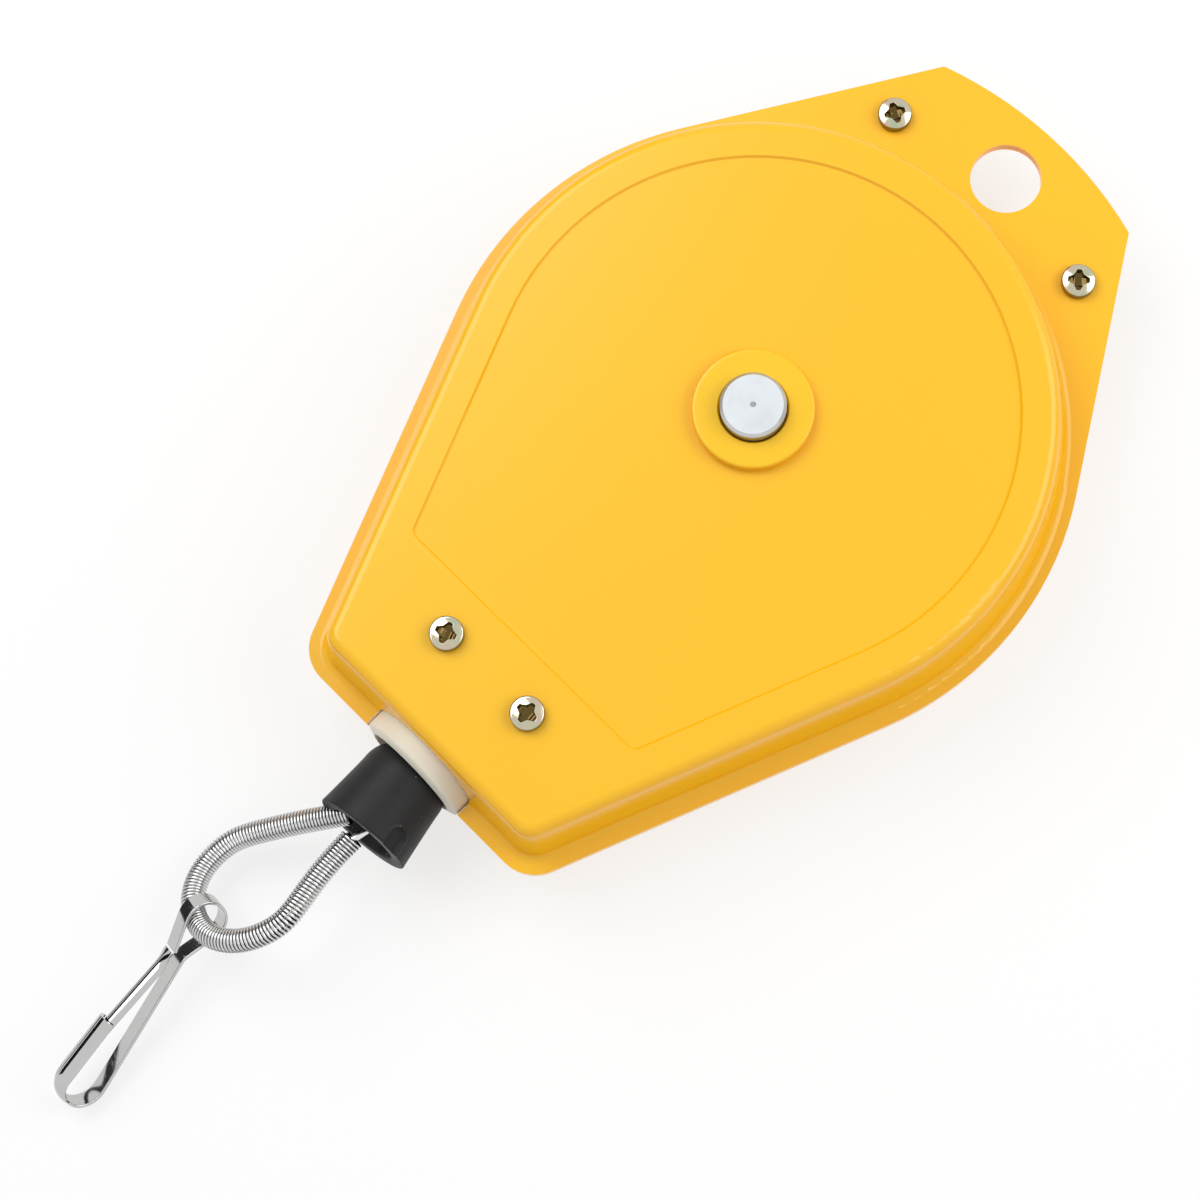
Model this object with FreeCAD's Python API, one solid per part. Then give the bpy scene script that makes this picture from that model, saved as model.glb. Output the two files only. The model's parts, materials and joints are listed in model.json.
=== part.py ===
import FreeCAD, Part
import os
from math import acos, atan2, cos, degrees, pi, radians, sin, sqrt, tan

V = FreeCAD.Vector
X_AXIS = V(1, 0, 0)
Y_AXIS = V(0, 1, 0)
Z_AXIS = V(0, 0, 1)

# Frame while drawing: the drum's axis is Z, the plane between the two flanges is z = 0, the hanger points
# to +Y and the front face to +Z. save() then moves the origin to the middle of the hanger hole.
# All sizes are in millimetres, all angles in degrees.

# Sheet-metal housing
sheet = 1.5
seam_gap = 0.2              # paint between the two flanges
shell_depth = 18.0          # flange face to front face
flange_r = 77.0
flange_lip = 4.2            # flange outside the foot of the wall
wall_inset = 2.6            # how far the drawn wall leans in up to the face
side_angle = 21.8           # each straight side against the long axis
flange_bottom = 113.5       # drum axis to the lower flange edge
flange_corner_r = 10.0
foot_corner_r = 7.0
face_corner_r = 5.0
face_edge_r = 3.0
foot_fillet_r = 2.2
panel_margin = 15.4         # recessed face panel inside the round flange
panel_foot = 38.0           # flange's lower edge up to the panel's
panel_corner_r = 2.5
panel_depth = 0.6
panel_slope = 0.5
tab_reach = 24.0            # hanger tab's curved end beyond the round flange
tab_half_angle = 17.4
tab_corner_r = 1.2
hanger_edge = 15.0          # tab's end to the middle of the hanger hole
hanger_hole_r = 8.5

# Dished pocket in the back shell, which keeps the tension ratchet inside the rest plane
dish_depth = 11.0
dish_clear = 2.57           # pawl's boss to the dish's wall
dish_slope = 2.0
dish_edge = 0.8

# Clearances
running = 0.05              # radial, shaft in bush
fit = 0.1                   # radial, seated parts
free = 0.3                  # moving faces that pass each other

# Screws
screw_r = 2.0
head_r = 4.05
head_height = 2.9
head_dome = 1.1
screw_point = 0.4
recess_depth = 1.7
recess_wing = 2.3
recess_tip = 0.8
recess_slot = 1.0
tab_screw_x = 30.0
tab_screw_edge = 22.0       # tab's end to the screws
tab_screw_length = 9.0
body_screw_x = 13.1
body_screw_edge = 27.3      # flange's lower edge to the screws
body_screw_length = 15.0
standoff_thread = 16.0
washer_r = 4.4
washer_height = 0.9
nut_across = 7.0
nut_height = 3.2
nut_corner = 0.5            # how far a nut's corners are trimmed
standoff_r = 3.5
rivet_end_r = 2.9

# Rope guide, a grooved plug in the half-round mouth
mouth_r = 15.3
mouth_depth = 7.7           # flange's lower edge to the outside of the mouth's floor
guide_r = 14.75
guide_thick = 4.2
guide_step_r = 11.6
guide_step = 0.9
guide_chamfer = 1.0
guide_neck_r = 12.5
guide_back_r = 14.4
guide_back_thick = 3.0
guide_snout = 1.4
guide_snout_wall = 1.8
rope_r = 0.9
guide_bore_r = 1.6
guide_flare = 2.6

# Shaft and bushes
shaft_r = 7.7
shaft_proud = 3.4
shaft_chamfer = 0.7
dimple_r = 0.7
journal_r = 6.0
flat_across = 9.4
groove_r = 4.6
clip_width = 1.0
clip_r = 8.0
clip_eye_r = 1.5
clip_eye_edge = 2.6
shaft_neck = 0.4            # clip's groove to the wrench square
square_across = 7.6
square_length = 3.4
square_lead = 0.15          # share by which the cone that breaks the square's end is wider
collar_r = 14.3
collar_height = 2.8
collar_edge_r = 0.8
bush_barrel_r = 10.5
bush_lip = 0.6              # barrel inside the sheet
bore_break = 0.5
ring_reach = 2.9            # lock ring beyond the barrel that it grips
ring_thick = 0.5
ring_notch = 1.6
back_bush_lip = 1.6
back_flange_r = 11.5
back_flange = 1.5
back_flange_edge = 0.5
back_barrel_r = 9.0

# Ratchet
teeth = 12
tooth_tip_r = 17.5
tooth_depth = 3.1
tooth_land = 0.5            # how far a tooth's tip falls off behind its edge
tooth_land_share = 0.12
tooth_lead = 0.6            # angle of the first tooth's face past the vertical
ratchet_thick = 3.2
pawl_aside = 2.0            # pawl's pin beyond the teeth, to the left
pawl_below = 1.5            # and downwards
pawl_boss_r = 4.2
pawl_root_gap = 0.5         # nose above the tooth's root
pawl_swing_gap = 2.9        # angle that the nose leaves at the tooth's face, so that it can swing out
pawl_waist_at = 9.4
pawl_waist_rise = 1.8
pawl_beak = 3.3
pawl_beak_fall = 0.7
pawl_face = 3.0
pawl_heel = 0.8
pawl_depth = 5.7
pawl_tail = 11.1
pawl_tail_angle = 137.6
pawl_tail_half = 1.3
pawl_tail_root = 3.0
pawl_pin_r = 2.0
pin_shoulder_r = 2.9
pin_head_r = 3.8
pin_head = 1.2
pin_edge = 0.5
pin_upset_r = 3.1
pin_upset = 1.3
pawl_wire_r = 0.35
pawl_leg_route = [(0.7, -3.35, 0), (5.0, -3.9, 0), (9.0, -3.4, 0), (9.9, -3.6, -3.4)]
pawl_anchor_route = [(-3.35, -0.7, 0), (-3.7, 4.5, 0), (-7.0, 13.0, 0), (-13.6, 14.6, 0)]

# Rope drum
spring_cup_r = 38.0
drum_rim = 7.0              # spring cup to the middle of the wound rope
rope_pitch = 2.6
drum_grooves = 5
groove_clear = 0.4          # rope to the root of its groove
groove_land = 0.3           # middle of the rope down to the land between two grooves
drum_flange_reach = 9.0     # drum's flanges beyond the middle of the rope
drum_flange = 1.5
drum_flange_lead = 0.4
drum_crown = 1.5
drum_web = 2.5
drum_hub_r = 13.0
drum_bush_wall = 2.0
web_holes = 6
web_hole_r = 7.0
cover_thick = 1.5
cover_seat = 4.0
cover_screws = 4
cover_screw_r = 1.25
cover_screw_grip = 4.5
countersink = 0.6           # screw head beyond its shank
countersink_gap = 0.15
countersink_depth = 0.9
cover_slot = 0.5
anchor_r = 1.7
anchor_length = 5.0
anchor_edge = 0.4
anchor_wall = 0.9
anchor_angle = 200

# Power spring
strip = 0.6
strip_width = 14.0
strip_side_gap = 0.5        # each edge of the strip to the drum's web and cover
spring_turns = 6
spring_inner_r = 10.6
spring_outer_gap = 0.4
spring_hook_at = 3.0
slot_bottom = 2.2
slot_gap = 0.3

# Bumper and crimp on the rope's end
bumper_length = 19.6
bumper_neck_r = 6.4
bumper_shoulder_r = 10.9
bumper_shoulder = 4.6
bumper_mouth_r = 12.3
bumper_wall = 2.2
bumper_lip = 0.6
bumper_draft = 1.0
bumper_floor_r = 1.5
bumper_cavity = 12.0
bumper_lean = 6.5           # sideways lean of the bumper against the pull
crimp_length = 8.0
crimp_wide = 7.4
crimp_thick = 4.4
crimp_edge = 0.6

# Rope eye in its coil sleeve: the eye's plane and its route, as (along, across) places in that plane
eye_start = V(-1.0, -134.0, 0.0)
eye_along = V(-0.258, -0.950, -0.178)
eye_roll = 30.0
ring_at = 41.6              # middle of the hook's ring, just inside the loop's apex
sleeve_r = 2.9
sleeve_bore_r = 1.15
sleeve_sides = 8
rope_sides = 6
sleeve_route = [(-1.8, -3.0), (8.6, -7.4), (18.4, -11.5), (25.2, -13.6), (32.2, -13.5), (38.4, -10.2),
                (42.0, -3.9), (42.0, 3.9), (38.4, 10.2), (32.2, 13.5), (25.2, 13.5), (18.4, 11.4),
                (8.6, 7.6), (-0.4, 4.1)]
crimp_legs = 1.7            # the two legs of the eye, to each side of the crimp's middle

# Snap hook, bent from one strip. Its eye rings the apex of the rope eye, its profile plane is rolled, and
# places along and across the hook are counted from the middle of its eye.
hook_along = V(0.078, -0.993, -0.071)
hook_roll = 46.0
hook_strip = 0.7
hook_width = 4.4
ring_outside_r = 5.2
neck_at = 9.2
neck_gate = 0.5
neck_back = -2.6
neck_lap = 0.3
bow_at = 47.0
bow_across = -3.6
bow_outside_r = 6.2
nose_at = 31.2
nose_width = 5.2
nose_sag = 2.1
nose_lean = 3.0
bow_steps = 7
fold_start = 0.25           # share of the bow where the strip begins to fold into a channel
fold_length = 0.7
gate_width = 3.3
gate_sag = 1.4
gate_root_at = 9.8
gate_tip_at = 39.5
gate_clear = 0.3
gate_opens_at = 0.86        # share of the gate's length, from its tip, where the half-round runs out

# Sizes and places that follow from those above
panel_r = flange_r - panel_margin
panel_bottom = flange_bottom - panel_foot
tab_r = flange_r + tab_reach
hanger_y = tab_r - hanger_edge
tab_screw_y = tab_r - tab_screw_edge
body_screw_y = body_screw_edge - flange_bottom
mouth_floor = flange_bottom - mouth_depth
rope_pitch_r = spring_cup_r + drum_rim
drum_flange_r = rope_pitch_r + drum_flange_reach
web_hole_pcd_r = (drum_hub_r + spring_cup_r) / 2
bush_outside_r = shaft_r + running + drum_bush_wall
guide_front = mouth_floor + running + guide_thick + guide_step
bumper_start = guide_front + free + bumper_neck_r * sin(radians(bumper_lean))
flange_z = seam_gap / 2 + sheet
face_z = flange_z + shell_depth
panel_z = face_z - panel_depth
panel_under = panel_z - sheet
tooth_root_r = tooth_tip_r - tooth_depth
pawl_x = -tooth_tip_r - pawl_aside
pawl_y = -tooth_tip_r - pawl_below
dish_r = sqrt(pawl_x ** 2 + pawl_y ** 2) + pawl_boss_r + dish_clear
dish_z = -face_z + dish_depth
dish_inside = dish_z + sheet
collar_z = panel_z + collar_height
shaft_top = collar_z + shaft_proud
front_bush_end = panel_under - bush_lip
back_bush_end = dish_inside + back_bush_lip
cover_low = back_bush_end + free
cover_high = cover_low + cover_thick
strip_low = cover_high + strip_side_gap
strip_high = strip_low + strip_width
web_low = strip_high + strip_side_gap
web_high = web_low + drum_web
hub_high = front_bush_end - free
ratchet_high = dish_z - back_flange - free
ratchet_low = ratchet_high - ratchet_thick
clip_high = ratchet_low - free
clip_low = clip_high - clip_width
square_low = clip_low - shaft_neck - square_length


def tube(radius, low, high, bore=0.0, x=0.0, y=0.0):
    """A round bar or sleeve along Z from low to high."""
    bar = Part.makeCylinder(radius, high - low, V(x, y, low))
    if bore > 0:
        bar = bar.cut(Part.makeCylinder(bore, high - low, V(x, y, low)))
    return bar


def polygon(points):
    return Part.Face(Part.makePolygon(points + [points[0]]))


def revolve(profile, origin=V(0, 0, 0), axis=Z_AXIS):
    """Turns a closed profile, a list of points, once round the axis."""
    return polygon(profile).revolve(origin, axis, 360)


def plain_ring(radius, section_r, height):
    """A ring of four-sided section, for wire and rope that lie hidden."""
    turns = [pi * k / 2 for k in range(4)]
    section = [V(radius + section_r * cos(turn), 0, height + section_r * sin(turn)) for turn in turns]
    return revolve(section)


def quarter(start, corner, end, steps):
    """Points of a quarter ellipse that leaves start towards the corner and comes in to end."""
    turns = [pi / 2 * k / steps for k in range(steps + 1)]
    return [start + (corner - start) * sin(turn) + (end - corner) * (1 - cos(turn)) for turn in turns]


def unit(vector):
    return vector * (1 / vector.Length)


def polar(radius, angle, height=0.0):
    return V(radius * cos(radians(angle)), radius * sin(radians(angle)), height)


def arc(start, middle, end):
    return Part.Arc(start, middle, end).toShape()


def line(start, end):
    return Part.LineSegment(start, end).toShape()


def fillet_edges(shape, radius, wanted):
    return shape.makeFillet(radius, [edge for edge in shape.Edges if wanted(edge)])


def chamfer_edges(shape, size, wanted):
    return shape.makeChamfer(size, [edge for edge in shape.Edges if wanted(edge)])


def rounded_path(points):
    """Straight runs joined by tangent arcs: radius 0.45 of the shorter run over tan(half the turn)."""
    edges = []
    last = points[0]
    radii = []
    for before, corner, after in zip(points, points[1:], points[2:]):
        into = unit(corner - before)
        out = unit(after - corner)
        turn = acos(max(-1.0, min(1.0, into.dot(out))))
        setback = 0.45 * min((corner - before).Length, (after - corner).Length)
        radius = setback / tan(turn / 2)
        radii.append(radius)
        start = corner - into * setback
        end = corner + out * setback
        centre_way = unit(out - into)
        centre = corner + centre_way * sqrt(radius ** 2 + setback ** 2)
        middle = centre - centre_way * radius
        edges.append(line(last, start))
        edges.append(arc(start, middle, end))
        last = end
    edges.append(line(last, points[-1]))
    return Part.Wire(edges), radii


def bent_tube(points, radius, bore=0.0, sides=rope_sides):
    """A many-sided tube along rounded_path; its least bend and its length are printed."""
    path, radii = rounded_path(points)
    start = unit(points[1] - points[0])
    level = unit(start.cross(Z_AXIS))
    rise = level.cross(start)
    turns = [2 * pi * k / sides for k in range(sides)]

    def swept(size):
        corners = [points[0] + (level * cos(turn) + rise * sin(turn)) * size for turn in turns]
        return path.makePipeShell([Part.makePolygon(corners + [corners[0]])], True, True)

    solid = swept(radius)
    if bore > 0:
        solid = solid.cut(swept(bore))
    section = sides / 2 * sin(2 * pi / sides) * (radius ** 2 - bore ** 2)
    print("tube length %.1f, least radius %.1f, volume over section times length %.4f"
          % (path.Length, min(radii), solid.Volume / (section * path.Length)))
    return solid


def mirrored(shape):
    """The same form on the other side of the seam plane."""
    return shape.mirror(V(0, 0, 0), Z_AXIS)


def on_both_sides(shape):
    return [shape, shape.mirror(V(0, 0, 0), X_AXIS)]


def save(name, shapes):
    """Writes one node's solids with the origin in the middle of the hanger hole."""
    shapes = shapes if isinstance(shapes, list) else [shapes]
    solids = [solid.removeSplitter() for shape in shapes for solid in shape.Solids]
    whole = solids[0] if len(solids) == 1 else Part.makeCompound(solids)
    whole.translate(V(0, -hanger_y, 0))
    whole.exportStep("parts/%s.step" % name)


def teardrop(radius, bottom, corner, height):
    """Circle, two straight sides that close in below it, and a straight lower edge with round corners."""
    tilt = radians(side_angle)
    touch = V(radius * cos(tilt), -radius * sin(tilt), height)
    down = (bottom - radius * sin(tilt)) / cos(tilt)
    tip = V(touch.x - down * sin(tilt), -bottom, height)
    # the corner turns by 90 degrees plus the side's angle, less what the side already leans
    setback = corner * tan((pi / 2 - tilt) / 2)
    side_end = V(tip.x + setback * sin(tilt), tip.y + setback * cos(tilt), height)
    floor_end = V(tip.x - setback, tip.y, height)
    centre = V(floor_end.x, tip.y + corner, height)
    middle = centre + unit(tip - centre) * corner

    def left(p):
        return V(-p.x, p.y, p.z)

    return Part.Wire([
        arc(touch, V(0, radius, height), left(touch)),
        line(left(touch), left(side_end)),
        arc(left(side_end), left(middle), left(floor_end)),
        line(left(floor_end), floor_end),
        arc(floor_end, middle, side_end),
        line(side_end, touch)])


def flange_plate(low):
    """The flat flange with the hanger tab, whose sides touch the round part."""
    below = teardrop(flange_r, flange_bottom, flange_corner_r, low)
    plate = Part.Face(below).extrude(V(0, 0, sheet))
    touch = 90 - tab_half_angle - degrees(acos(flange_r / tab_r))
    right = polar(flange_r, touch, low)
    corner = polar(tab_r, 90 - tab_half_angle, low)
    tab = Part.Wire([
        line(V(0, 0, low), right),
        line(right, corner),
        arc(corner, V(0, tab_r, low), V(-corner.x, corner.y, low)),
        line(V(-corner.x, corner.y, low), V(-right.x, right.y, low)),
        line(V(-right.x, right.y, low), V(0, 0, low))])
    tab = Part.Face(tab).extrude(V(0, 0, sheet))
    tab = fillet_edges(tab, tab_corner_r,
                       lambda edge: edge.BoundBox.ZLength > sheet / 2 and edge.CenterOfMass.y > tab_r / 2)
    return plate.fuse(tab).removeSplitter()


def drawn_cup(inset, bottom_z, top_z):
    """The cup's form, inset from the outside by a wall or by nothing, with sharp edges."""
    lip = flange_lip + inset
    foot = teardrop(flange_r - lip, flange_bottom - lip, foot_corner_r - inset, flange_z)
    lip += wall_inset
    face = teardrop(flange_r - lip, flange_bottom - lip, face_corner_r - inset, top_z)
    cup = Part.makeLoft([foot, face], True, True)
    foot.translate(V(0, 0, bottom_z - flange_z))
    return cup.fuse(Part.Face(foot).extrude(V(0, 0, flange_z - bottom_z))).removeSplitter()


def panel_form(inset, low, high):
    """The shallow recessed panel of the face, with sloping edges."""
    wide = teardrop(panel_r - inset, panel_bottom - inset, panel_corner_r, high)
    narrow_by = inset + panel_slope
    narrow = teardrop(panel_r - narrow_by, panel_bottom - narrow_by, panel_corner_r, low)
    return Part.makeLoft([wide, narrow], True, True)


def mouth_form(radius, floor):
    """Half-round mouth for the rope guide, open downwards."""
    reach = flange_bottom + 10 - floor
    return Part.makeCylinder(radius, reach, V(0, -floor, 0), V(0, -1, 0))


def drawn_shell():
    """The form that both shells share, as the front one: flange, wall, face, panel, mouth and screw holes."""
    low = seam_gap / 2
    inner_z = face_z - sheet
    cup = drawn_cup(0, low, face_z)
    cup = fillet_edges(cup, face_edge_r, lambda edge: edge.BoundBox.ZMin > face_z - 0.01)
    outside = flange_plate(low).fuse(cup).removeSplitter()
    foot = teardrop(flange_r - flange_lip, flange_bottom - flange_lip, foot_corner_r, flange_z)

    def at_foot(edge):
        middle = edge.valueAt((edge.FirstParameter + edge.LastParameter) / 2)
        return abs(middle.z - flange_z) < 0.01 and foot.distToShape(Part.Vertex(middle))[0] < 0.05

    outside = fillet_edges(outside, foot_fillet_r, at_foot)
    outside = outside.cut(panel_form(0, panel_z, face_z)).cut(mouth_form(mouth_r, mouth_floor))
    inside = drawn_cup(sheet, low - 1, inner_z)
    inside = chamfer_edges(inside, face_edge_r - sheet, lambda edge: edge.BoundBox.ZMin > inner_z - 0.01)
    inside = inside.cut(panel_form(-sheet / 3, panel_under, inner_z))
    inside = inside.cut(mouth_form(mouth_r + sheet, mouth_floor - sheet))
    shell = outside.cut(inside)
    shell = shell.cut(mouth_form(guide_neck_r + fit, 0))
    holes = [tube(hanger_hole_r, 0, flange_z + 1, y=hanger_y)]
    holes += on_both_sides(tube(screw_r + fit, 0, flange_z + 1, x=tab_screw_x, y=tab_screw_y))
    return shell.cut(Part.makeCompound(holes))


def front_shell(shell):
    holes = on_both_sides(tube(screw_r + fit, 0, face_z + 1, x=body_screw_x, y=body_screw_y))
    holes.append(tube(bush_barrel_r + fit, 0, face_z + 1))
    return shell.cut(Part.makeCompound(holes))


def dish_form(inset, extra):
    """The dished pocket as a cone frustum from the back face inwards."""
    return Part.makeCone(dish_r + dish_slope - inset, dish_r - inset, dish_depth + extra, V(0, 0, -face_z))


def back_shell(shell):
    """The mirrored shell with the dish pressed into its face."""
    back = mirrored(shell)
    below_face = Part.makeCylinder(dish_r * 2, dish_depth + sheet, V(0, 0, -panel_z))
    back = back.fuse(dish_form(-sheet, sheet).common(below_face))
    back = back.cut(dish_form(0, 0))

    def at_dish(edge):
        box = edge.BoundBox
        level = abs(box.ZMin + panel_z) < 0.01 and box.ZLength < 0.01
        return level and abs(box.XLength - 2 * dish_mouth_r()) < 0.2

    back = chamfer_edges(back, dish_edge, at_dish)
    holes = on_both_sides(tube(rivet_end_r + fit, -face_z - 1, 0, x=body_screw_x, y=body_screw_y))
    holes.append(tube(back_barrel_r + fit, -face_z - 1, 0))
    holes.append(tube(pawl_pin_r + fit, -face_z - 1, 0, x=pawl_x, y=pawl_y))
    return back.cut(Part.makeCompound(holes))


def dish_mouth_r():
    """Radius of the dish where it meets the recessed panel."""
    return dish_r + dish_slope * (1 - panel_depth / dish_depth)


def cross_recess(seat):
    """Tapered cross that sinks into a screw head whose seat is at this height."""
    top = seat + head_height + fit
    low = top - recess_depth
    wing = polygon([V(-recess_wing, 0, top), V(recess_wing, 0, top),
                    V(recess_tip, 0, low), V(-recess_tip, 0, low)])
    wing = wing.extrude(V(0, recess_slot, 0))
    wing.translate(V(0, -recess_slot / 2, 0))
    crossed = wing.copy()
    crossed.rotate(V(0, 0, 0), Z_AXIS, 90)
    return wing.fuse(crossed)


def pan_screw(x, y, seat, length, turn):
    """Pan-head screw with a domed top and a cross recess, pointing down from its seat."""
    side = seat + head_height - head_dome
    top = seat + head_height
    dome = quarter(V(head_r, 0, side), V(head_r, 0, top), V(0, 0, top), 3)
    head = revolve([V(0, 0, seat), V(head_r, 0, seat)] + dome)
    shank = tube(screw_r, seat - length, seat)
    shank = chamfer_edges(shank, screw_point, lambda edge: edge.BoundBox.ZMax < seat - length + 0.01)
    screw = head.fuse(shank).cut(cross_recess(seat))
    screw.rotate(V(0, 0, 0), Z_AXIS, turn)
    screw.translate(V(x, y, 0))
    return screw


def hex_nut(x, y, top):
    corner = nut_across / 2 / cos(pi / 6)
    nut = polygon([polar(corner, 60 * k, top) for k in range(6)]).extrude(V(0, 0, -nut_height))
    low = top - nut_height
    trim = Part.makeCone(corner - nut_corner, corner + nut_height, nut_height * 1.1, V(0, 0, low))
    nut = nut.common(trim).cut(tube(screw_r + running, low - 1, top + 1))
    nut.translate(V(x, y, 0))
    return nut


def standoffs():
    """Spacer tubes between the shells, with a reduced end swaged flush into the back sheet."""
    inner = face_z - sheet
    post = tube(standoff_r, -inner, inner)
    post = post.fuse(tube(rivet_end_r, -face_z, -inner))
    post = post.cut(tube(screw_r + running, inner - standoff_thread, inner + 1))
    post.translate(V(body_screw_x, body_screw_y, 0))
    return on_both_sides(post)


def rope_guide():
    """A grooved nylon plug with a flared bore; its axis is Y."""
    out = -mouth_floor - running
    face = out - guide_thick
    step = face - guide_step
    neck = -mouth_floor + sheet + running
    back = neck + guide_back_thick
    snout = back + guide_snout
    flare = guide_bore_r + guide_flare
    profile = [
        V(guide_bore_r, step + guide_flare, 0), V(flare, step, 0), V(guide_step_r, step, 0),
        V(guide_step_r, face, 0), V(guide_r - guide_chamfer, face, 0), V(guide_r, face + guide_chamfer, 0),
        V(guide_r, out, 0),
        V(guide_neck_r, out, 0), V(guide_neck_r, neck, 0), V(guide_back_r, neck, 0), V(guide_back_r, back, 0),
        V(flare + guide_snout_wall, back, 0), V(flare, snout, 0), V(guide_bore_r, snout - guide_flare, 0)]
    return revolve(profile, axis=Y_AXIS)


def front_bush():
    """Flanged bush whose collar shows round the shaft end."""
    bore = shaft_r + running
    profile = [V(bore, 0, front_bush_end), V(bush_barrel_r, 0, front_bush_end), V(bush_barrel_r, 0, panel_z),
               V(collar_r, 0, panel_z)]
    profile += quarter(V(collar_r, 0, collar_z - collar_edge_r), V(collar_r, 0, collar_z),
                       V(collar_r - collar_edge_r, 0, collar_z), 3)
    profile += [V(bore + bore_break, 0, collar_z), V(bore, 0, collar_z - bore_break)]
    return revolve(profile)


def back_bush():
    """Flanged bush in the dish's floor, for the shaft's journal."""
    bore = journal_r + running
    low = dish_z - back_flange
    return revolve([
        V(bore, 0, low), V(back_flange_r - back_flange_edge, 0, low),
        V(back_flange_r, 0, low + back_flange_edge), V(back_flange_r, 0, dish_z), V(back_barrel_r, 0, dish_z),
        V(back_barrel_r, 0, back_bush_end), V(bore, 0, back_bush_end)])


def lock_ring(barrel_r, low):
    """Push-on ring with three notches that grips a bush's barrel inside the sheet."""
    ring = tube(barrel_r + ring_reach, low, low + ring_thick, bore=barrel_r + fit)
    corner = V(barrel_r - ring_notch / 4, -ring_notch / 2, low)
    slot = Part.makeBox(ring_notch, ring_notch, ring_thick, corner)
    for k in range(3):
        notch = slot.copy()
        notch.rotate(V(0, 0, 0), Z_AXIS, 120 * k)
        ring = ring.cut(notch)
    return ring


def double_d(radius, across, low, high):
    """A round bar with two flats."""
    bar = tube(radius, low, high)
    return bar.common(Part.makeBox(radius * 2, across, high - low, V(-radius, -across / 2, low)))


def tension_shaft():
    """Stepped shaft: turned front end, drum seat slotted for the spring, journal, flats and wrench square."""
    shaft = tube(shaft_r, cover_low, shaft_top)
    shaft = chamfer_edges(shaft, shaft_chamfer, lambda edge: edge.BoundBox.ZMin > shaft_top - 0.01)
    shaft = shaft.fuse(tube(journal_r, ratchet_high, cover_low))
    shaft = shaft.fuse(double_d(journal_r, flat_across, clip_low, ratchet_high))
    half = square_across / 2
    square = Part.makeBox(square_across, square_across, clip_low - square_low, V(-half, -half, square_low))
    lead_r = half * (1 + square_lead)
    lead = Part.makeCone(lead_r, lead_r + square_length, square_length, V(0, 0, square_low))
    shaft = shaft.fuse(square.common(lead.fuse(tube(journal_r, square_low + square_length / 3, clip_low))))
    groove = tube(journal_r + 1, clip_low, clip_high, bore=groove_r)
    slot_width = strip + 2 * slot_gap
    slot_corner = V(slot_bottom, -slot_width / 2, strip_low - free)
    slot = Part.makeBox(shaft_r, slot_width, strip_width + 2 * free, slot_corner)
    dimple = Part.makeCone(0.1, dimple_r, dimple_r, V(0, 0, shaft_top - dimple_r))
    return shaft.cut(groove).cut(slot).cut(dimple).removeSplitter()


def retaining_clip():
    """E-shaped clip in the shaft's groove, under the ratchet wheel."""
    clip = tube(clip_r, clip_low + fit, clip_high - fit, bore=groove_r + running)
    mouth = Part.makeBox(clip_r + 1, groove_r * 1.5, clip_width, V(0, -groove_r * 0.75, clip_low))
    clip = clip.cut(mouth)
    for angle in (110, 250):
        eye = polar(clip_r - clip_eye_edge, angle)
        clip = clip.cut(tube(clip_eye_r, clip_low, clip_high, x=eye.x, y=eye.y))
    return clip


def ratchet_wheel():
    """Saw-tooth wheel: each tooth has a radial face and a back that runs down to the next root."""
    pitch = 360 / teeth
    points = []
    for k in range(teeth):
        face = -90 + tooth_lead + pitch * k
        points.append(polar(tooth_root_r, face, ratchet_low))
        points.append(polar(tooth_tip_r, face, ratchet_low))
        points.append(polar(tooth_tip_r - tooth_land, face + pitch * tooth_land_share, ratchet_low))
    wheel = polygon(points).extrude(V(0, 0, ratchet_thick))
    bore = double_d(journal_r + running, flat_across + 2 * running, ratchet_low - 1, ratchet_high + 1)
    return wheel.cut(bore)


def pawl():
    """Compression pawl with a round boss, a tapering arm to its tooth and a thumb tail."""
    nose = polar(tooth_root_r + pawl_root_gap, -90 + tooth_lead - pawl_swing_gap, ratchet_low)
    pivot = V(pawl_x, pawl_y, ratchet_low)
    thick = V(0, 0, ratchet_thick)
    boss = tube(pawl_boss_r, ratchet_low, ratchet_high, x=pawl_x, y=pawl_y)
    arm = polygon([pivot + polar(pawl_boss_r, 90) * 0.9, pivot + V(pawl_waist_at, pawl_waist_rise, 0),
                   nose - V(pawl_beak, pawl_beak_fall, 0), nose, nose - V(0, pawl_face, 0),
                   nose - V(pawl_heel, pawl_depth, 0), pivot + polar(pawl_boss_r, -78)])
    way = polar(pawl_tail, pawl_tail_angle)
    side = polar(1, pawl_tail_angle - 90)
    tail = polygon([pivot + side * pawl_tail_root, pivot + way + side * pawl_tail_half,
                    pivot + way - side * pawl_tail_half, pivot - side * pawl_tail_root])
    body = boss.fuse([arm.extrude(thick), tail.extrude(thick)]).removeSplitter()
    return body.cut(tube(pawl_pin_r + running, ratchet_low - 1, ratchet_high + 1, x=pawl_x, y=pawl_y))


def pawl_pin():
    """Shouldered rivet that carries the pawl on the dish's floor, turned as one profile."""
    under = ratchet_low - free
    low = under - pin_head
    shoulder = ratchet_high + free
    upset = dish_inside + pin_upset
    pin = revolve([
        V(0, 0, low), V(pin_head_r - pin_edge, 0, low), V(pin_head_r, 0, low + pin_edge),
        V(pin_head_r, 0, under), V(pawl_pin_r, 0, under), V(pawl_pin_r, 0, shoulder),
        V(pin_shoulder_r, 0, shoulder), V(pin_shoulder_r, 0, dish_z), V(pawl_pin_r, 0, dish_z),
        V(pawl_pin_r, 0, dish_inside), V(pin_upset_r, 0, dish_inside), V(pin_upset_r / 2, 0, upset),
        V(0, 0, upset)])
    pin.translate(V(pawl_x, pawl_y, 0))
    return pin


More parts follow.
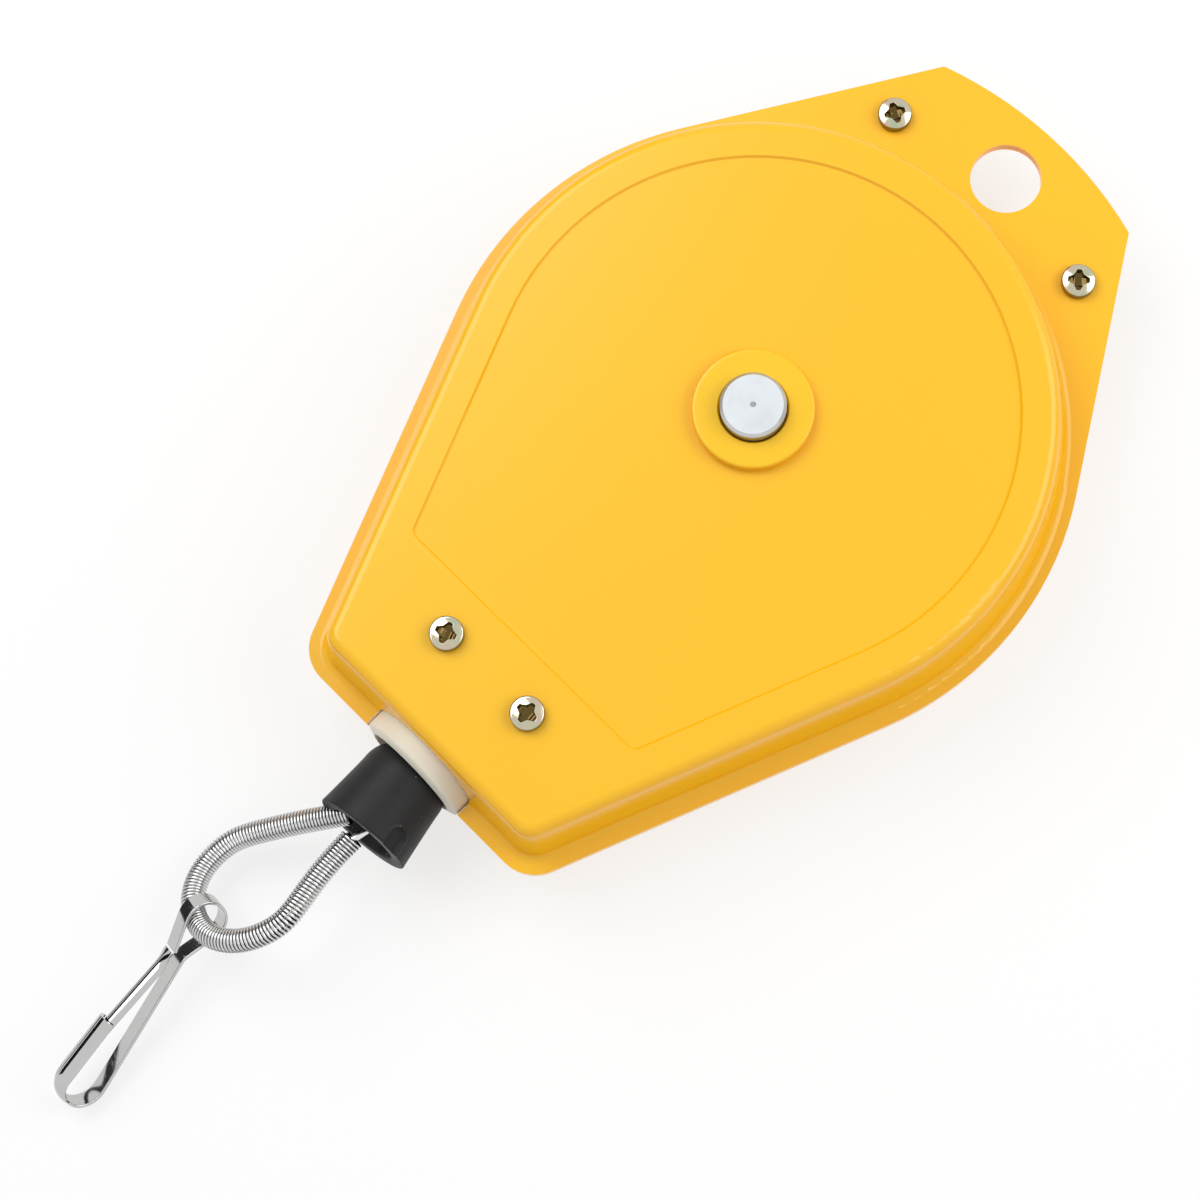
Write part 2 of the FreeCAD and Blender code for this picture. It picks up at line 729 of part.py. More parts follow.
def pawl_spring():
    """Torsion spring round the pin's shoulder: one leg under the pawl's arm, one out to the dish's wall."""
    level = (ratchet_high + dish_z) / 2
    coil_r = pin_shoulder_r + pawl_wire_r + fit
    pivot = V(pawl_x, pawl_y, level)
    coil = plain_ring(coil_r, pawl_wire_r, level)
    coil.translate(V(pawl_x, pawl_y, 0))
    legs = [bent_tube([pivot + V(*spot) for spot in route], pawl_wire_r)
            for route in (pawl_leg_route, pawl_anchor_route)]
    return coil.fuse(legs)


def groove_height(index):
    """Height of a rope groove; the rope leaves from the one at the guide's height."""
    return (index - 1) * rope_pitch


def rope_drum():
    """Grooved rim, spring cup, web and hub turned as one profile, with round windows in the web."""
    root_r = rope_pitch_r - rope_r - groove_clear
    land_r = rope_pitch_r - groove_land
    seat_r = spring_cup_r + cover_seat
    first = groove_height(-0.5)
    last = groove_height(drum_grooves - 0.5)
    rim = [V(land_r, 0, first)]
    for k in range(drum_grooves):
        rim.append(V(root_r, 0, groove_height(k)))
        rim.append(V(land_r, 0, groove_height(k + 0.5)))
    profile = [V(bush_outside_r, 0, web_low), V(bush_outside_r, 0, hub_high), V(drum_hub_r, 0, hub_high),
               V(drum_hub_r, 0, web_high), V(land_r - drum_crown, 0, web_high),
               V(drum_flange_r, 0, last + drum_flange), V(drum_flange_r, 0, last + drum_flange_lead)]
    profile += rim[::-1]
    profile += [V(drum_flange_r, 0, first - drum_flange_lead), V(drum_flange_r, 0, cover_low),
                V(seat_r, 0, cover_low), V(seat_r, 0, cover_high), V(spring_cup_r, 0, cover_high),
                V(spring_cup_r, 0, web_low)]
    drum = revolve(profile)
    holes = []
    for k in range(web_holes):
        spot = polar(web_hole_pcd_r, 360 / web_holes * (k + 0.5))
        holes.append(tube(web_hole_r, web_low - 1, web_high + 1, x=spot.x, y=spot.y))
    thread_end = cover_high + cover_screw_grip + fit
    for k in range(cover_screws):
        spot = cover_screw_spot(k)
        holes.append(tube(cover_screw_r, cover_high - 1, thread_end, x=spot.x, y=spot.y))
    pocket = anchor_spot()
    holes.append(tube(anchor_r + fit, last - anchor_length, web_high + 1, x=pocket.x, y=pocket.y))
    return drum.cut(Part.makeCompound(holes))


def anchor_spot():
    return polar(rope_pitch_r - rope_r - anchor_r - anchor_wall, anchor_angle)


def rope_anchor():
    """Crimped slug that holds the rope's inner end in the drum's rim."""
    spot = anchor_spot()
    high = groove_height(drum_grooves - 0.5)
    low = high - anchor_length + fit
    edge = anchor_edge
    slug = revolve([V(0, 0, low), V(anchor_r - edge, 0, low), V(anchor_r, 0, low + edge),
                    V(anchor_r, 0, high - edge), V(anchor_r - edge, 0, high), V(0, 0, high)])
    slug.translate(V(spot.x, spot.y, 0))
    return slug


def cover_screw_spot(k):
    return polar(spring_cup_r + cover_seat / 2, 360 / cover_screws * k + 45)


def drum_cover():
    """Sheet cover that closes the spring cup, screwed to its seat and bushed in the middle."""
    cover = tube(spring_cup_r + cover_seat - fit, cover_low, cover_high, bore=bush_outside_r)
    cone_r = cover_screw_r + countersink + countersink_gap
    for k in range(cover_screws):
        spot = cover_screw_spot(k)
        cover = cover.cut(tube(cover_screw_r + fit, cover_low - 1, cover_high + 1, x=spot.x, y=spot.y))
        seat = V(spot.x, spot.y, cover_low)
        cover = cover.cut(Part.makeCone(cone_r, cover_screw_r + fit, countersink_depth, seat))
    return cover


def cover_screw_set():
    """Countersunk screws, flush in the drum cover."""
    found = []
    shank_r = cover_screw_r - fit
    head_r = cover_screw_r + countersink
    for k in range(cover_screws):
        spot = cover_screw_spot(k)
        head = Part.makeCone(head_r, shank_r, countersink_depth, V(spot.x, spot.y, cover_low + fit))
        shank = tube(shank_r, cover_low + cover_slot, cover_high + cover_screw_grip, x=spot.x, y=spot.y)
        slot = Part.makeBox(2 * head_r + 1, cover_slot, cover_slot,
                            V(spot.x - head_r - 0.5, spot.y - cover_slot / 2, cover_low))
        found.append(head.fuse(shank).cut(slot).removeSplitter())
    return found


def bearing(low, high):
    """Plain bush pressed into the drum or its cover."""
    return tube(bush_outside_r, low, high, bore=shaft_r + running)


def power_spring():
    """Flat spiral of strip steel drawn with half circles, hooked into the shaft's slot at its inner end."""
    outer_r = spring_cup_r - spring_outer_gap - strip
    pitch = (outer_r - spring_inner_r) / (spring_turns + 0.5)

    def half_circles(offset):
        edges = []
        for k in range(2 * spring_turns):
            side = 1 if k % 2 == 0 else -1
            radius = spring_inner_r + offset + k * pitch / 2
            centre = 0 if side == 1 else pitch / 2
            edges.append(arc(V(centre + side * radius, 0, strip_low), V(centre, side * radius, strip_low),
                             V(centre - side * radius, 0, strip_low)))
        return edges

    def tip(edges, k):
        return edges[k].valueAt(edges[k].FirstParameter if k == 0 else edges[k].LastParameter)

    inner = half_circles(0)
    outer = half_circles(strip)
    ends = [line(tip(inner, 0), tip(outer, 0)), line(tip(inner, -1), tip(outer, -1))]
    wire = Part.Wire(Part.__sortEdges__(inner + outer + ends))
    coil = Part.Face(wire).extrude(V(0, 0, strip_width))
    reach = spring_inner_r + strip - spring_hook_at
    hook = Part.makeBox(reach, strip, strip_width, V(spring_hook_at, -strip / 2, strip_low))
    return coil.fuse(hook).removeSplitter()


def rope_turns():
    """The wound rope, one ring for each filled groove beside the one that the rope leaves from."""
    return [plain_ring(rope_pitch_r, rope_r, groove_height(k)) for k in range(2, drum_grooves)]


def rope_line():
    """Where the rope leaves the drum: the line from the guide that touches the wound rope's circle."""
    guide = V(0, -mouth_floor + sheet + guide_back_thick - guide_flare / 10, 0)
    spread = degrees(acos(rope_pitch_r / guide.Length))
    touch = polar(rope_pitch_r, -90 + spread)
    return touch, guide


def bumper_place(shape):
    """Turns a form made along -Y by the bumper's lean, about the guide's mouth."""
    shape.rotate(V(0, -guide_front, 0), Z_AXIS, bumper_lean)
    return shape


def bumper_point(along):
    """A point of the bumper's own axis, counted from its neck."""
    lean = FreeCAD.Rotation(Z_AXIS, bumper_lean)
    return lean.multVec(V(0, guide_front - bumper_start - along, 0)) + V(0, -guide_front, 0)


def bumper():
    """Moulded rubber stop: round shoulder, flared skirt and an open mouth; its axis is its own."""
    def at(radius, along):
        return V(radius, -bumper_start - along, 0)

    bore = rope_r + free + fit
    inside = bumper_mouth_r - bumper_wall
    floor = bumper_length - bumper_cavity
    lip = bumper_length - bumper_lip
    profile = [at(bore, 0)]
    profile += quarter(at(bumper_neck_r, 0), at(bumper_shoulder_r, 0),
                       at(bumper_shoulder_r, bumper_shoulder), 4)
    profile += quarter(at(bumper_mouth_r, lip), at(bumper_mouth_r, bumper_length),
                       at(bumper_mouth_r - bumper_lip, bumper_length), 1)
    narrow = inside - bumper_draft
    profile += [at(inside + bumper_lip, bumper_length), at(inside, lip), at(narrow, floor + bumper_floor_r),
                at(narrow - bumper_floor_r, floor), at(bore, floor)]
    return bumper_place(revolve(profile, axis=Y_AXIS))


def rope_crimp():
    """Pressed oval sleeve under the bumper that closes the rope's eye."""
    low = bumper_length - bumper_cavity + free
    half = (crimp_wide - crimp_thick) / 2
    rim = crimp_thick / 2
    y = -bumper_start - low
    oval = Part.Wire([
        line(V(-half, y, rim), V(half, y, rim)),
        arc(V(half, y, rim), V(half + rim, y, 0), V(half, y, -rim)),
        line(V(half, y, -rim), V(-half, y, -rim)),
        arc(V(-half, y, -rim), V(-half - rim, y, 0), V(-half, y, rim))])
    crimp = Part.Face(oval).extrude(V(0, -crimp_length, 0))
    return bumper_place(chamfer_edges(crimp, crimp_edge, lambda edge: edge.BoundBox.YLength < 0.01))


def rope_run():
    """The rope from the drum through the guide and the bumper to the crimp."""
    touch, guide = rope_line()
    away = unit(touch - guide)
    upper = guide + away * 44 - V(0.2, 0, 0)
    lower = guide + away * 18
    end = bumper_point(bumper_length - bumper_cavity - free)
    return bent_tube([touch, upper, lower, guide, V(0, -guide_front, 0), end], rope_r)


def eye_frame():
    """Unit vectors of the rope eye's plane: along it, across it and out of it."""
    along = unit(eye_along)
    level = unit(Z_AXIS.cross(along))
    level = level if level.x > 0 else level * -1
    up = unit(level.cross(along))
    up = up if up.z > 0 else up * -1
    across = level * cos(radians(eye_roll)) + up * sin(radians(eye_roll))
    return along, across


def eye_point(along, across):
    one, two = eye_frame()
    return eye_start + one * along + two * across


def eye_sleeve():
    """Close-wound coil sleeve over the rope eye, as one tube of its outer size."""
    return bent_tube([eye_point(*spot) for spot in sleeve_route], sleeve_r, sleeve_bore_r, sleeve_sides)


def rope_eye():
    """The rope's loop from one leg in the crimp to the other."""
    across = eye_frame()[1]
    low = bumper_length - bumper_cavity + free + crimp_length
    start = bumper_point(low) - across * crimp_legs
    end = bumper_point(low) + across * crimp_legs
    loop = bent_tube([start] + [eye_point(*spot) for spot in sleeve_route] + [end], rope_r)
    return loop.cut(rope_crimp())


def hook_frame():
    """Unit vectors of the hook's profile plane: along the hook, and across it towards the gate."""
    along = unit(hook_along)
    level = unit(Z_AXIS.cross(along))
    level = level if level.x < 0 else level * -1
    up = unit(level.cross(along))
    up = up if up.z > 0 else up * -1
    across = level * cos(radians(hook_roll)) + up * sin(radians(hook_roll))
    return along, across


def hook_place(shape):
    """Moves a form drawn in the hook's own frame to the rope eye."""
    along, across = hook_frame()
    at = eye_point(ring_at, 0)
    third = along.cross(across)
    shape.Placement = FreeCAD.Placement(FreeCAD.Matrix(
        along.x, across.x, third.x, at.x,
        along.y, across.y, third.y, at.y,
        along.z, across.z, third.z, at.z,
        0, 0, 0, 1))
    return shape


def strip_run(start, end):
    """Straight stretch of flat strip between two middle points of the hook's own plane."""
    side = unit(V(-(end - start).y, (end - start).x, 0)) * (hook_strip / 2)
    base = polygon([start + side, end + side, end - side, start - side])
    base.translate(V(0, 0, -hook_width / 2))
    return base.extrude(V(0, 0, hook_width))


def strip_bend(centre, radius, first, last):
    """Bent stretch of flat strip round a centre, from one angle to another, counted anticlockwise."""
    ring = tube(radius + hook_strip / 2, -hook_width / 2, hook_width / 2, bore=radius - hook_strip / 2)
    far = radius * 4
    steps = 3
    wedge = [V(0, 0, -hook_width)]
    for k in range(steps + 1):
        wedge.append(polar(far, first + (last - first) * k / steps, -hook_width))
    ring = ring.common(polygon(wedge).extrude(V(0, 0, hook_width * 2)))
    ring.translate(centre)
    return ring


def touch_angle(centre, radius, spot, side):
    """Angle on a circle where the line from a spot touches it; side picks one of the two."""
    reach = spot - centre
    return degrees(atan2(reach.y, reach.x)) + side * degrees(acos(radius / reach.Length))


def channel_section(spot, outward, width, sag, fold):
    """Section of bent strip: a flat bar at fold 0, a half-round channel with edges inwards at fold 1."""
    n = Z_AXIS
    half = width / 2
    edge = half - hook_strip * fold
    drop = hook_strip * (1 - fold)
    crown = spot + outward * (hook_strip / 2)
    left = crown - n * half - outward * sag
    right = crown + n * half - outward * sag
    left_in = crown - n * edge - outward * (sag + drop)
    right_in = crown + n * edge - outward * (sag + drop)
    return Part.Wire([arc(left, crown, right), line(right, right_in),
                      arc(right_in, crown - outward * hook_strip, left_in), line(left_in, left)])


def snap_hook():
    """Strip bent into eye, neck, back arm and bow, then drawn into a channel for the nose."""
    ring_r = ring_outside_r - hook_strip / 2
    bow_r = bow_outside_r - hook_strip / 2
    middle = V(0, 0, 0)
    bow = V(bow_at, bow_across, 0)
    gate_side = V(neck_at, neck_gate, 0)
    back_side = V(neck_at, neck_back, 0)
    ring_first = touch_angle(middle, ring_r, gate_side, 1)
    ring_last = 360 + touch_angle(middle, ring_r, back_side, -1)
    back_touch = touch_angle(bow, bow_r, back_side, 1) - 360
    nose_touch = 90 - nose_lean
    ring_end = polar(ring_r, ring_last)
    pieces = [
        strip_run(gate_side, polar(ring_r, ring_first)),
        strip_bend(middle, ring_r, ring_first, ring_last),
        strip_run(ring_end, back_side + unit(back_side - ring_end) * neck_lap),
        strip_run(back_side, bow + polar(bow_r, back_touch))]
    sections = []
    sweep = nose_touch - back_touch
    for k in range(bow_steps + 1):
        share = k / bow_steps
        outward = polar(1, back_touch + sweep * share)
        fold = max(0.02, min(1.0, (share - fold_start) / fold_length))
        sections.append(channel_section(bow + outward * bow_r, outward,
                                        hook_width + (nose_width - hook_width) * fold, nose_sag * fold, fold))
    outward = polar(1, nose_touch)
    start = bow + outward * bow_r
    back = polar(1, nose_touch + 90)
    reach = (bow_at - nose_at) / cos(radians(nose_lean))
    ends = [channel_section(spot, outward, nose_width, nose_sag, 1.0)
            for spot in (start, start + back * reach)]
    channel = Part.makeLoft(ends, True, True)
    pieces.append(Part.makeLoft(sections, True, False))
    pieces.append(channel)
    return hook_place(pieces[0].fuse(pieces[1:]).removeSplitter())


def hook_gate():
    """Half-round arm that springs shut inside the nose."""
    bow = V(bow_at, bow_across, 0)
    outward = polar(1, 90 - nose_lean)
    back = polar(1, 180 - nose_lean)
    crown = bow + outward * (bow_outside_r - hook_strip - gate_clear - hook_strip / 2)
    tip = crown + back * ((bow_at - gate_tip_at) / cos(radians(nose_lean)))
    root = V(gate_root_at, neck_gate + hook_strip / 2, 0)
    way = unit(root - tip)
    up = V(way.y, -way.x, 0)
    up = up if up.y > 0 else up * -1
    sections = []
    for share, fold in ((0, 1.0), (gate_opens_at, 1.0), ((gate_opens_at + 1) / 2, 0.8), (1.0, 0.15)):
        width = gate_width + (hook_width - gate_width) * (1 - fold) / 2
        sections.append(channel_section(tip + (root - tip) * share, up, width, gate_sag * fold, fold))
    arm = Part.makeLoft(sections[:2], True, True).fuse(Part.makeLoft(sections[1:], True, False))
    return hook_place(arm.removeSplitter())


os.makedirs("parts", exist_ok=True)

shell = drawn_shell()
save("front_shell", front_shell(shell))
save("back_shell", back_shell(shell))
save("tab_screws", [pan_screw(x, tab_screw_y, flange_z, tab_screw_length, turn)
                    for x, turn in ((tab_screw_x, 35), (-tab_screw_x, 12))])
save("tab_washers", on_both_sides(tube(washer_r, -flange_z - washer_height, -flange_z, bore=screw_r + fit,
                                       x=tab_screw_x, y=tab_screw_y)))
save("tab_nuts", [hex_nut(x, tab_screw_y, -flange_z - washer_height) for x in (tab_screw_x, -tab_screw_x)])
save("body_screws", [pan_screw(x, body_screw_y, face_z, body_screw_length, turn)
                     for x, turn in ((body_screw_x, 20), (-body_screw_x, 5))])
save("standoffs", standoffs())
save("rope_guide", rope_guide())
save("front_bush", front_bush())
save("back_bush", back_bush())
save("front_bush_ring", lock_ring(bush_barrel_r, panel_under - ring_thick))
save("back_bush_ring", lock_ring(back_barrel_r, dish_inside))
save("pawl_pin", pawl_pin())
save("pawl_spring", pawl_spring())
save("pawl", pawl())
save("tension_shaft", tension_shaft())
save("ratchet_wheel", ratchet_wheel())
save("shaft_clip", retaining_clip())
save("rope_drum", rope_drum())
save("drum_cover", drum_cover())
save("cover_screws", cover_screw_set())
save("drum_bush", bearing(web_low, hub_high))
save("cover_bush", bearing(cover_low, cover_high))
save("power_spring", power_spring())
save("rope_turns", rope_turns())
save("rope_anchor", rope_anchor())
save("rope_run", rope_run())
save("bumper", bumper())
save("rope_crimp", rope_crimp())
save("rope_eye", rope_eye())
save("eye_sleeve", eye_sleeve())
save("snap_hook", snap_hook())
save("hook_gate", hook_gate())
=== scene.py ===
import json
import math

import bmesh
import bpy
import numpy as np
from mathutils import Matrix, Vector


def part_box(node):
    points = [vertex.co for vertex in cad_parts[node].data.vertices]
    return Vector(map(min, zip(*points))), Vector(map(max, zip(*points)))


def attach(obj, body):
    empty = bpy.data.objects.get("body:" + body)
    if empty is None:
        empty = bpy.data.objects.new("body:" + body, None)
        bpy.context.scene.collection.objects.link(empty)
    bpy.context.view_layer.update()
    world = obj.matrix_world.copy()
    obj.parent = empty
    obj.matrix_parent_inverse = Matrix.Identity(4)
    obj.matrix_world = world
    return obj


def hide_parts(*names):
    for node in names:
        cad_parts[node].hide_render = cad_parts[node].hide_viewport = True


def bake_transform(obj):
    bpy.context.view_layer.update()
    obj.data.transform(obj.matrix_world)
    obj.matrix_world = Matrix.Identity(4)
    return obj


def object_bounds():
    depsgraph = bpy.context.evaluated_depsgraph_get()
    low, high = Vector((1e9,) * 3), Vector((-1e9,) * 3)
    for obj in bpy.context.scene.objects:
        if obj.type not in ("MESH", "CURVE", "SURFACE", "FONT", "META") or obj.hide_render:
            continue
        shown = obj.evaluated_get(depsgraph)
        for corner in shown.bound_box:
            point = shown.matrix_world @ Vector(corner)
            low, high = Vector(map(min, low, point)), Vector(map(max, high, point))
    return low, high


bl_info = {
    "name": "Spring Tool Balancer",
    "version": (1, 0, 0),
    "blender": (4, 5, 0),
    "location": "View3D > Sidebar > Balancer",
    "description": "Finishes, fastenings, rope, stop and snap hook of a spring tool balancer",
    "category": "Object",
}

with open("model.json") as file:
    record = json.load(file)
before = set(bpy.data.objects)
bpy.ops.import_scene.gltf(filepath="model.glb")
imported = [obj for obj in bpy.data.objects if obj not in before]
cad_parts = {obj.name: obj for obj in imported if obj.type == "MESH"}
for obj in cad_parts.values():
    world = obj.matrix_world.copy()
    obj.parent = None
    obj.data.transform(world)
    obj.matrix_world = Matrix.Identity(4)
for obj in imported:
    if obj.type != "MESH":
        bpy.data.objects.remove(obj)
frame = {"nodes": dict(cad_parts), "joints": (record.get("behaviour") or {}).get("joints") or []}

MM = 0.001
CAD_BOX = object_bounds()
FLOOR_Z = float(CAD_BOX[0][2])
DRUM_AXIS = np.array(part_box("front_bush")).mean(axis=0)
FACE_Z = float(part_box("front_shell")[1][2])
FLANGE_Z = -float(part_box("tab_washers")[1][2])
GUIDE_FRONT = float(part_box("rope_guide")[0][1])
UP = np.array([0.0, 0.0, 1.0])
SHARP = math.radians(52)
MERGE = 1e-7


# Small mathematics that every piece uses

def unit(vector):
    """The same direction with length one, along the last axis of an array."""
    vector = np.asarray(vector, float)
    return vector / np.linalg.norm(vector, axis=-1, keepdims=True)


def places(x, y, z):
    """Places from three coordinates whose shapes fit together."""
    return np.stack(np.broadcast_arrays(x, y, z), -1)


def circle(steps):
    """Angles of one whole turn."""
    return np.linspace(0, 2 * np.pi, steps, endpoint=False)


def box_corners(label):
    """The lowest and the highest corner of a CAD node."""
    return np.array(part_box(label))


def smooth_step(value, low, high):
    """0 below low, 1 above high and the cubic 3t^2 - 2t^3 between them."""
    t = np.clip((np.asarray(value, float) - low) / (high - low), 0, 1)
    return t * t * (3 - 2 * t)


def inclined_axes(along, roll, side):
    """Axes of a plane that holds along: across starts level, towards side, and is rolled upwards by an angle."""
    along = unit(along)
    level = unit(np.cross(UP, along))
    level = level * math.copysign(1, level[0] * side)
    rise = unit(np.cross(level, along))
    rise = rise * math.copysign(1, rise[2])
    across = level * math.cos(roll) + rise * math.sin(roll)
    return along, across, np.cross(along, across)


def along_path(points, count):
    """A polyline divided into count equal steps: places, and how far along each one lies."""
    points = np.asarray(points, float)
    lengths = np.concatenate([[0], np.cumsum(np.linalg.norm(np.diff(points, axis=0), axis=1))])
    at = np.linspace(0, lengths[-1], count)
    return np.stack([np.interp(at, lengths, points[:, k]) for k in range(points.shape[1])], 1), at


def softened(points, reach):
    """A polyline of equal steps whose corners are rounded by a moving average with bell-shaped weights."""
    offsets = np.arange(-3 * reach, 3 * reach + 1)
    weights = np.exp(-0.5 * (offsets / reach) ** 2)
    weights /= weights.sum()
    ahead = 2 * points[-1] - points[-2:-3 * reach - 2:-1]
    behind = 2 * points[0] - points[3 * reach:0:-1]
    padded = np.vstack([behind, points, ahead])
    return np.stack([np.convolve(padded[:, k], weights, "valid") for k in range(points.shape[1])], 1)


def linked(name, data):
    """A new object of the scene with that mesh or curve."""
    made = bpy.data.objects.new(name, data)
    bpy.context.scene.collection.objects.link(made)
    return made


def keep_painted_shade(mesh, values):
    """Keeps painted shade for each point as an attribute: 0 where the colour stays, 1 where it is painted dark."""
    dark = mesh.attributes.new(name="shade", type="FLOAT", domain="POINT")
    dark.data.foreach_set("value", np.asarray(values, np.float32).ravel())


def surface(name, grid, wrap_u=False, wrap_v=False, caps=False, uv=None, shade=None):
    """A mesh from a grid of places (u, v, 3): one four-sided face between neighbours, smooth shaded, with the caps
    as fans of the first and last rows. Faces look outwards where v turns anticlockwise as seen along u."""
    rows, columns = grid.shape[:2]
    index = np.arange(rows * columns).reshape(rows, columns)
    if wrap_u:
        index = np.vstack([index, index[:1]])
    if wrap_v:
        index = np.hstack([index, index[:, :1]])
    faces = np.stack([index[:-1, :-1], index[:-1, 1:], index[1:, 1:], index[1:, :-1]], -1).reshape(-1, 4).tolist()
    if caps:
        ring = np.arange(columns)
        faces += [ring.tolist()[::-1], (ring + (rows - 1) * columns).tolist()]
    mesh = bpy.data.meshes.new(name)
    mesh.from_pydata(grid.reshape(-1, 3).tolist(), [], faces)
    mesh.polygons.foreach_set("use_smooth", np.ones(len(faces), bool))
    if uv is not None:
        corner = np.empty(len(mesh.loops), np.int32)
        mesh.loops.foreach_get("vertex_index", corner)
        layer = mesh.uv_layers.new(name="UVMap")
        layer.data.foreach_set("uv", uv.reshape(-1, 2)[corner].astype(np.float32).ravel())
    if shade is not None:
        keep_painted_shade(mesh, np.broadcast_to(shade, (rows, columns)))
    mesh.validate()
    mesh.set_sharp_from_angle(angle=SHARP)
    return linked(name, mesh)


def rod(name, grid, **extra):
    """A closed surface from rings along a path."""
    return surface(name, grid, wrap_v=True, caps=True, **extra)


def joined(name, pieces):
    """One mesh from several surfaces, with doubles merged at their poles and seams, and the faces turned outwards."""
    spots, faces, shades = [], [], []
    first = 0
    for piece in pieces:
        mesh = piece.data
        count = len(mesh.vertices)
        flat = np.empty(count * 3)
        mesh.vertices.foreach_get("co", flat)
        spots.append(flat.reshape(-1, 3))
        faces += [[first + corner for corner in face.vertices] for face in mesh.polygons]
        shade = np.zeros(count, np.float32)
        if "shade" in mesh.attributes:
            mesh.attributes["shade"].data.foreach_get("value", shade)
        shades.append(shade)
        first += count
        bpy.data.objects.remove(piece)
        bpy.data.meshes.remove(mesh)
    whole = bpy.data.meshes.new(name)
    whole.from_pydata(np.vstack(spots).tolist(), [], faces)
    whole.polygons.foreach_set("use_smooth", np.ones(len(faces), bool))
    keep_painted_shade(whole, np.concatenate(shades))
    form = bmesh.new()
    form.from_mesh(whole)
    bmesh.ops.remove_doubles(form, verts=form.verts, dist=MERGE)
    bmesh.ops.recalc_face_normals(form, faces=form.faces)
    form.to_mesh(whole)
    form.free()
    whole.set_sharp_from_angle(angle=SHARP)
    return linked(name, whole)


def turned(name, outline, place, steps):
    """A turned form: the outline's pairs (along, radius) carried round the axis, (along, radius cos t, radius sin t),
    and put in place by a function."""
    turns = circle(steps)
    along = np.broadcast_to(outline[:, :1], (len(outline), steps))
    radius = outline[:, 1:]
    return surface(name, place(along, radius * np.cos(turns), radius * np.sin(turns)), wrap_u=True, wrap_v=True)


def rounded_corner(outline, at, reach, steps):
    """The outline with the corner at that index replaced by a curve through points reach away on both sides:
    (1-t)^2 a + 2t(1-t) corner + t^2 b."""
    before, corner, after = outline[at - 1], outline[at], outline[(at + 1) % len(outline)]
    a = corner + (before - corner) * min(1, reach / np.linalg.norm(before - corner))
    b = corner + (after - corner) * min(1, reach / np.linalg.norm(after - corner))
    t = np.linspace(0, 1, steps)[:, None]
    curve = (1 - t) ** 2 * a + 2 * t * (1 - t) * corner + t ** 2 * b
    return np.vstack([outline[:at], curve, outline[at + 1:]])


def tube_round(centre, sides, radius, normal):
    """Rings round a path: centre + radius (cos v * normal + sin v * binormal)."""
    tangent = unit(np.gradient(centre, axis=0))
    normal = unit(normal - tangent * np.sum(normal * tangent, axis=1, keepdims=True))
    binormal = np.cross(tangent, normal)
    turn = circle(sides)
    radius = np.broadcast_to(radius, len(centre))[:, None, None]
    ring = np.cos(turn)[None, :, None] * normal[:, None] + np.sin(turn)[None, :, None] * binormal[:, None]
    return centre[:, None] + radius * ring


# Shader node groups and materials

def fill_inputs(tree, made, values):
    """Sets the inputs of a shader node to values, or links them to sockets."""
    for name, value in values.items():
        if isinstance(value, bpy.types.NodeSocket):
            tree.links.new(value, made.inputs[name])
        else:
            made.inputs[name].default_value = value
    return made


def node(tree, kind, values=None, **settings):
    """One shader node with its settings and its inputs."""
    made = tree.nodes.new(kind)
    for name, value in settings.items():
        setattr(made, name, value)
    return fill_inputs(tree, made, values or {})


def maths(tree, operation, *terms, **settings):
    """The result of a maths node."""
    return node(tree, "ShaderNodeMath", dict(enumerate(terms)), operation=operation, **settings).outputs["Value"]


def vector_maths(tree, operation, *terms):
    """The node for a calculation with vectors."""
    return node(tree, "ShaderNodeVectorMath", dict(enumerate(terms)), operation=operation)


def soft_patches(tree, given):
    """Soft cloudy patches: a noise stretched to 0..1 round its middle."""
    noise = node(tree, "ShaderNodeTexNoise", {"Vector": given["Vector"], "Scale": given["Scale"], "Detail": 3.0,
                                              "Roughness": 0.55})
    return node(tree, "ShaderNodeMapRange", {"Value": noise.outputs["Fac"], "From Min": given["Low"],
                                             "From Max": given["High"]}).outputs["Result"]


def dust_specks(tree, given):
    """Dust specks: the middles of scattered cells, kept only in a share of the cells."""
    cells = node(tree, "ShaderNodeTexVoronoi", {"Vector": given["Vector"], "Scale": given["Scale"]})
    lucky = node(tree, "ShaderNodeSeparateColor", {"Color": cells.outputs["Color"]})
    dot = maths(tree, "LESS_THAN", cells.outputs["Distance"], given["Size"])
    return maths(tree, "MULTIPLY", dot, maths(tree, "GREATER_THAN", lucky.outputs["Red"], given["Share"]))


def fine_grain(tree, given):
    """Fine grain: a noise at the size of the grain, added to a softer one four times as large."""
    fine = node(tree, "ShaderNodeTexNoise", {"Vector": given["Vector"], "Scale": given["Scale"], "Detail": 2.0})
    coarse = node(tree, "ShaderNodeTexNoise", {"Vector": given["Vector"], "Detail": 1.0,
                                               "Scale": maths(tree, "MULTIPLY", given["Scale"], 0.25)})
    return maths(tree, "ADD", fine.outputs["Fac"], coarse.outputs["Fac"])


def hairline_scratches(tree, given):
    """Hairline scratches: a noise stretched eightyfold along one axis, cut to its crests."""
    slanted = node(tree, "ShaderNodeVectorRotate", {"Vector": given["Vector"], "Angle": given["Turn"]})
    stretched = vector_maths(tree, "MULTIPLY", slanted.outputs["Vector"], (1.0, 80.0, 12.0))
    noise = node(tree, "ShaderNodeTexNoise", {"Vector": stretched.outputs["Vector"], "Scale": given["Scale"],
                                              "Detail": 1.0})
    return node(tree, "ShaderNodeMapRange", {"Value": noise.outputs["Fac"], "From Min": 0.66,
                                             "From Max": 0.74}).outputs["Result"]


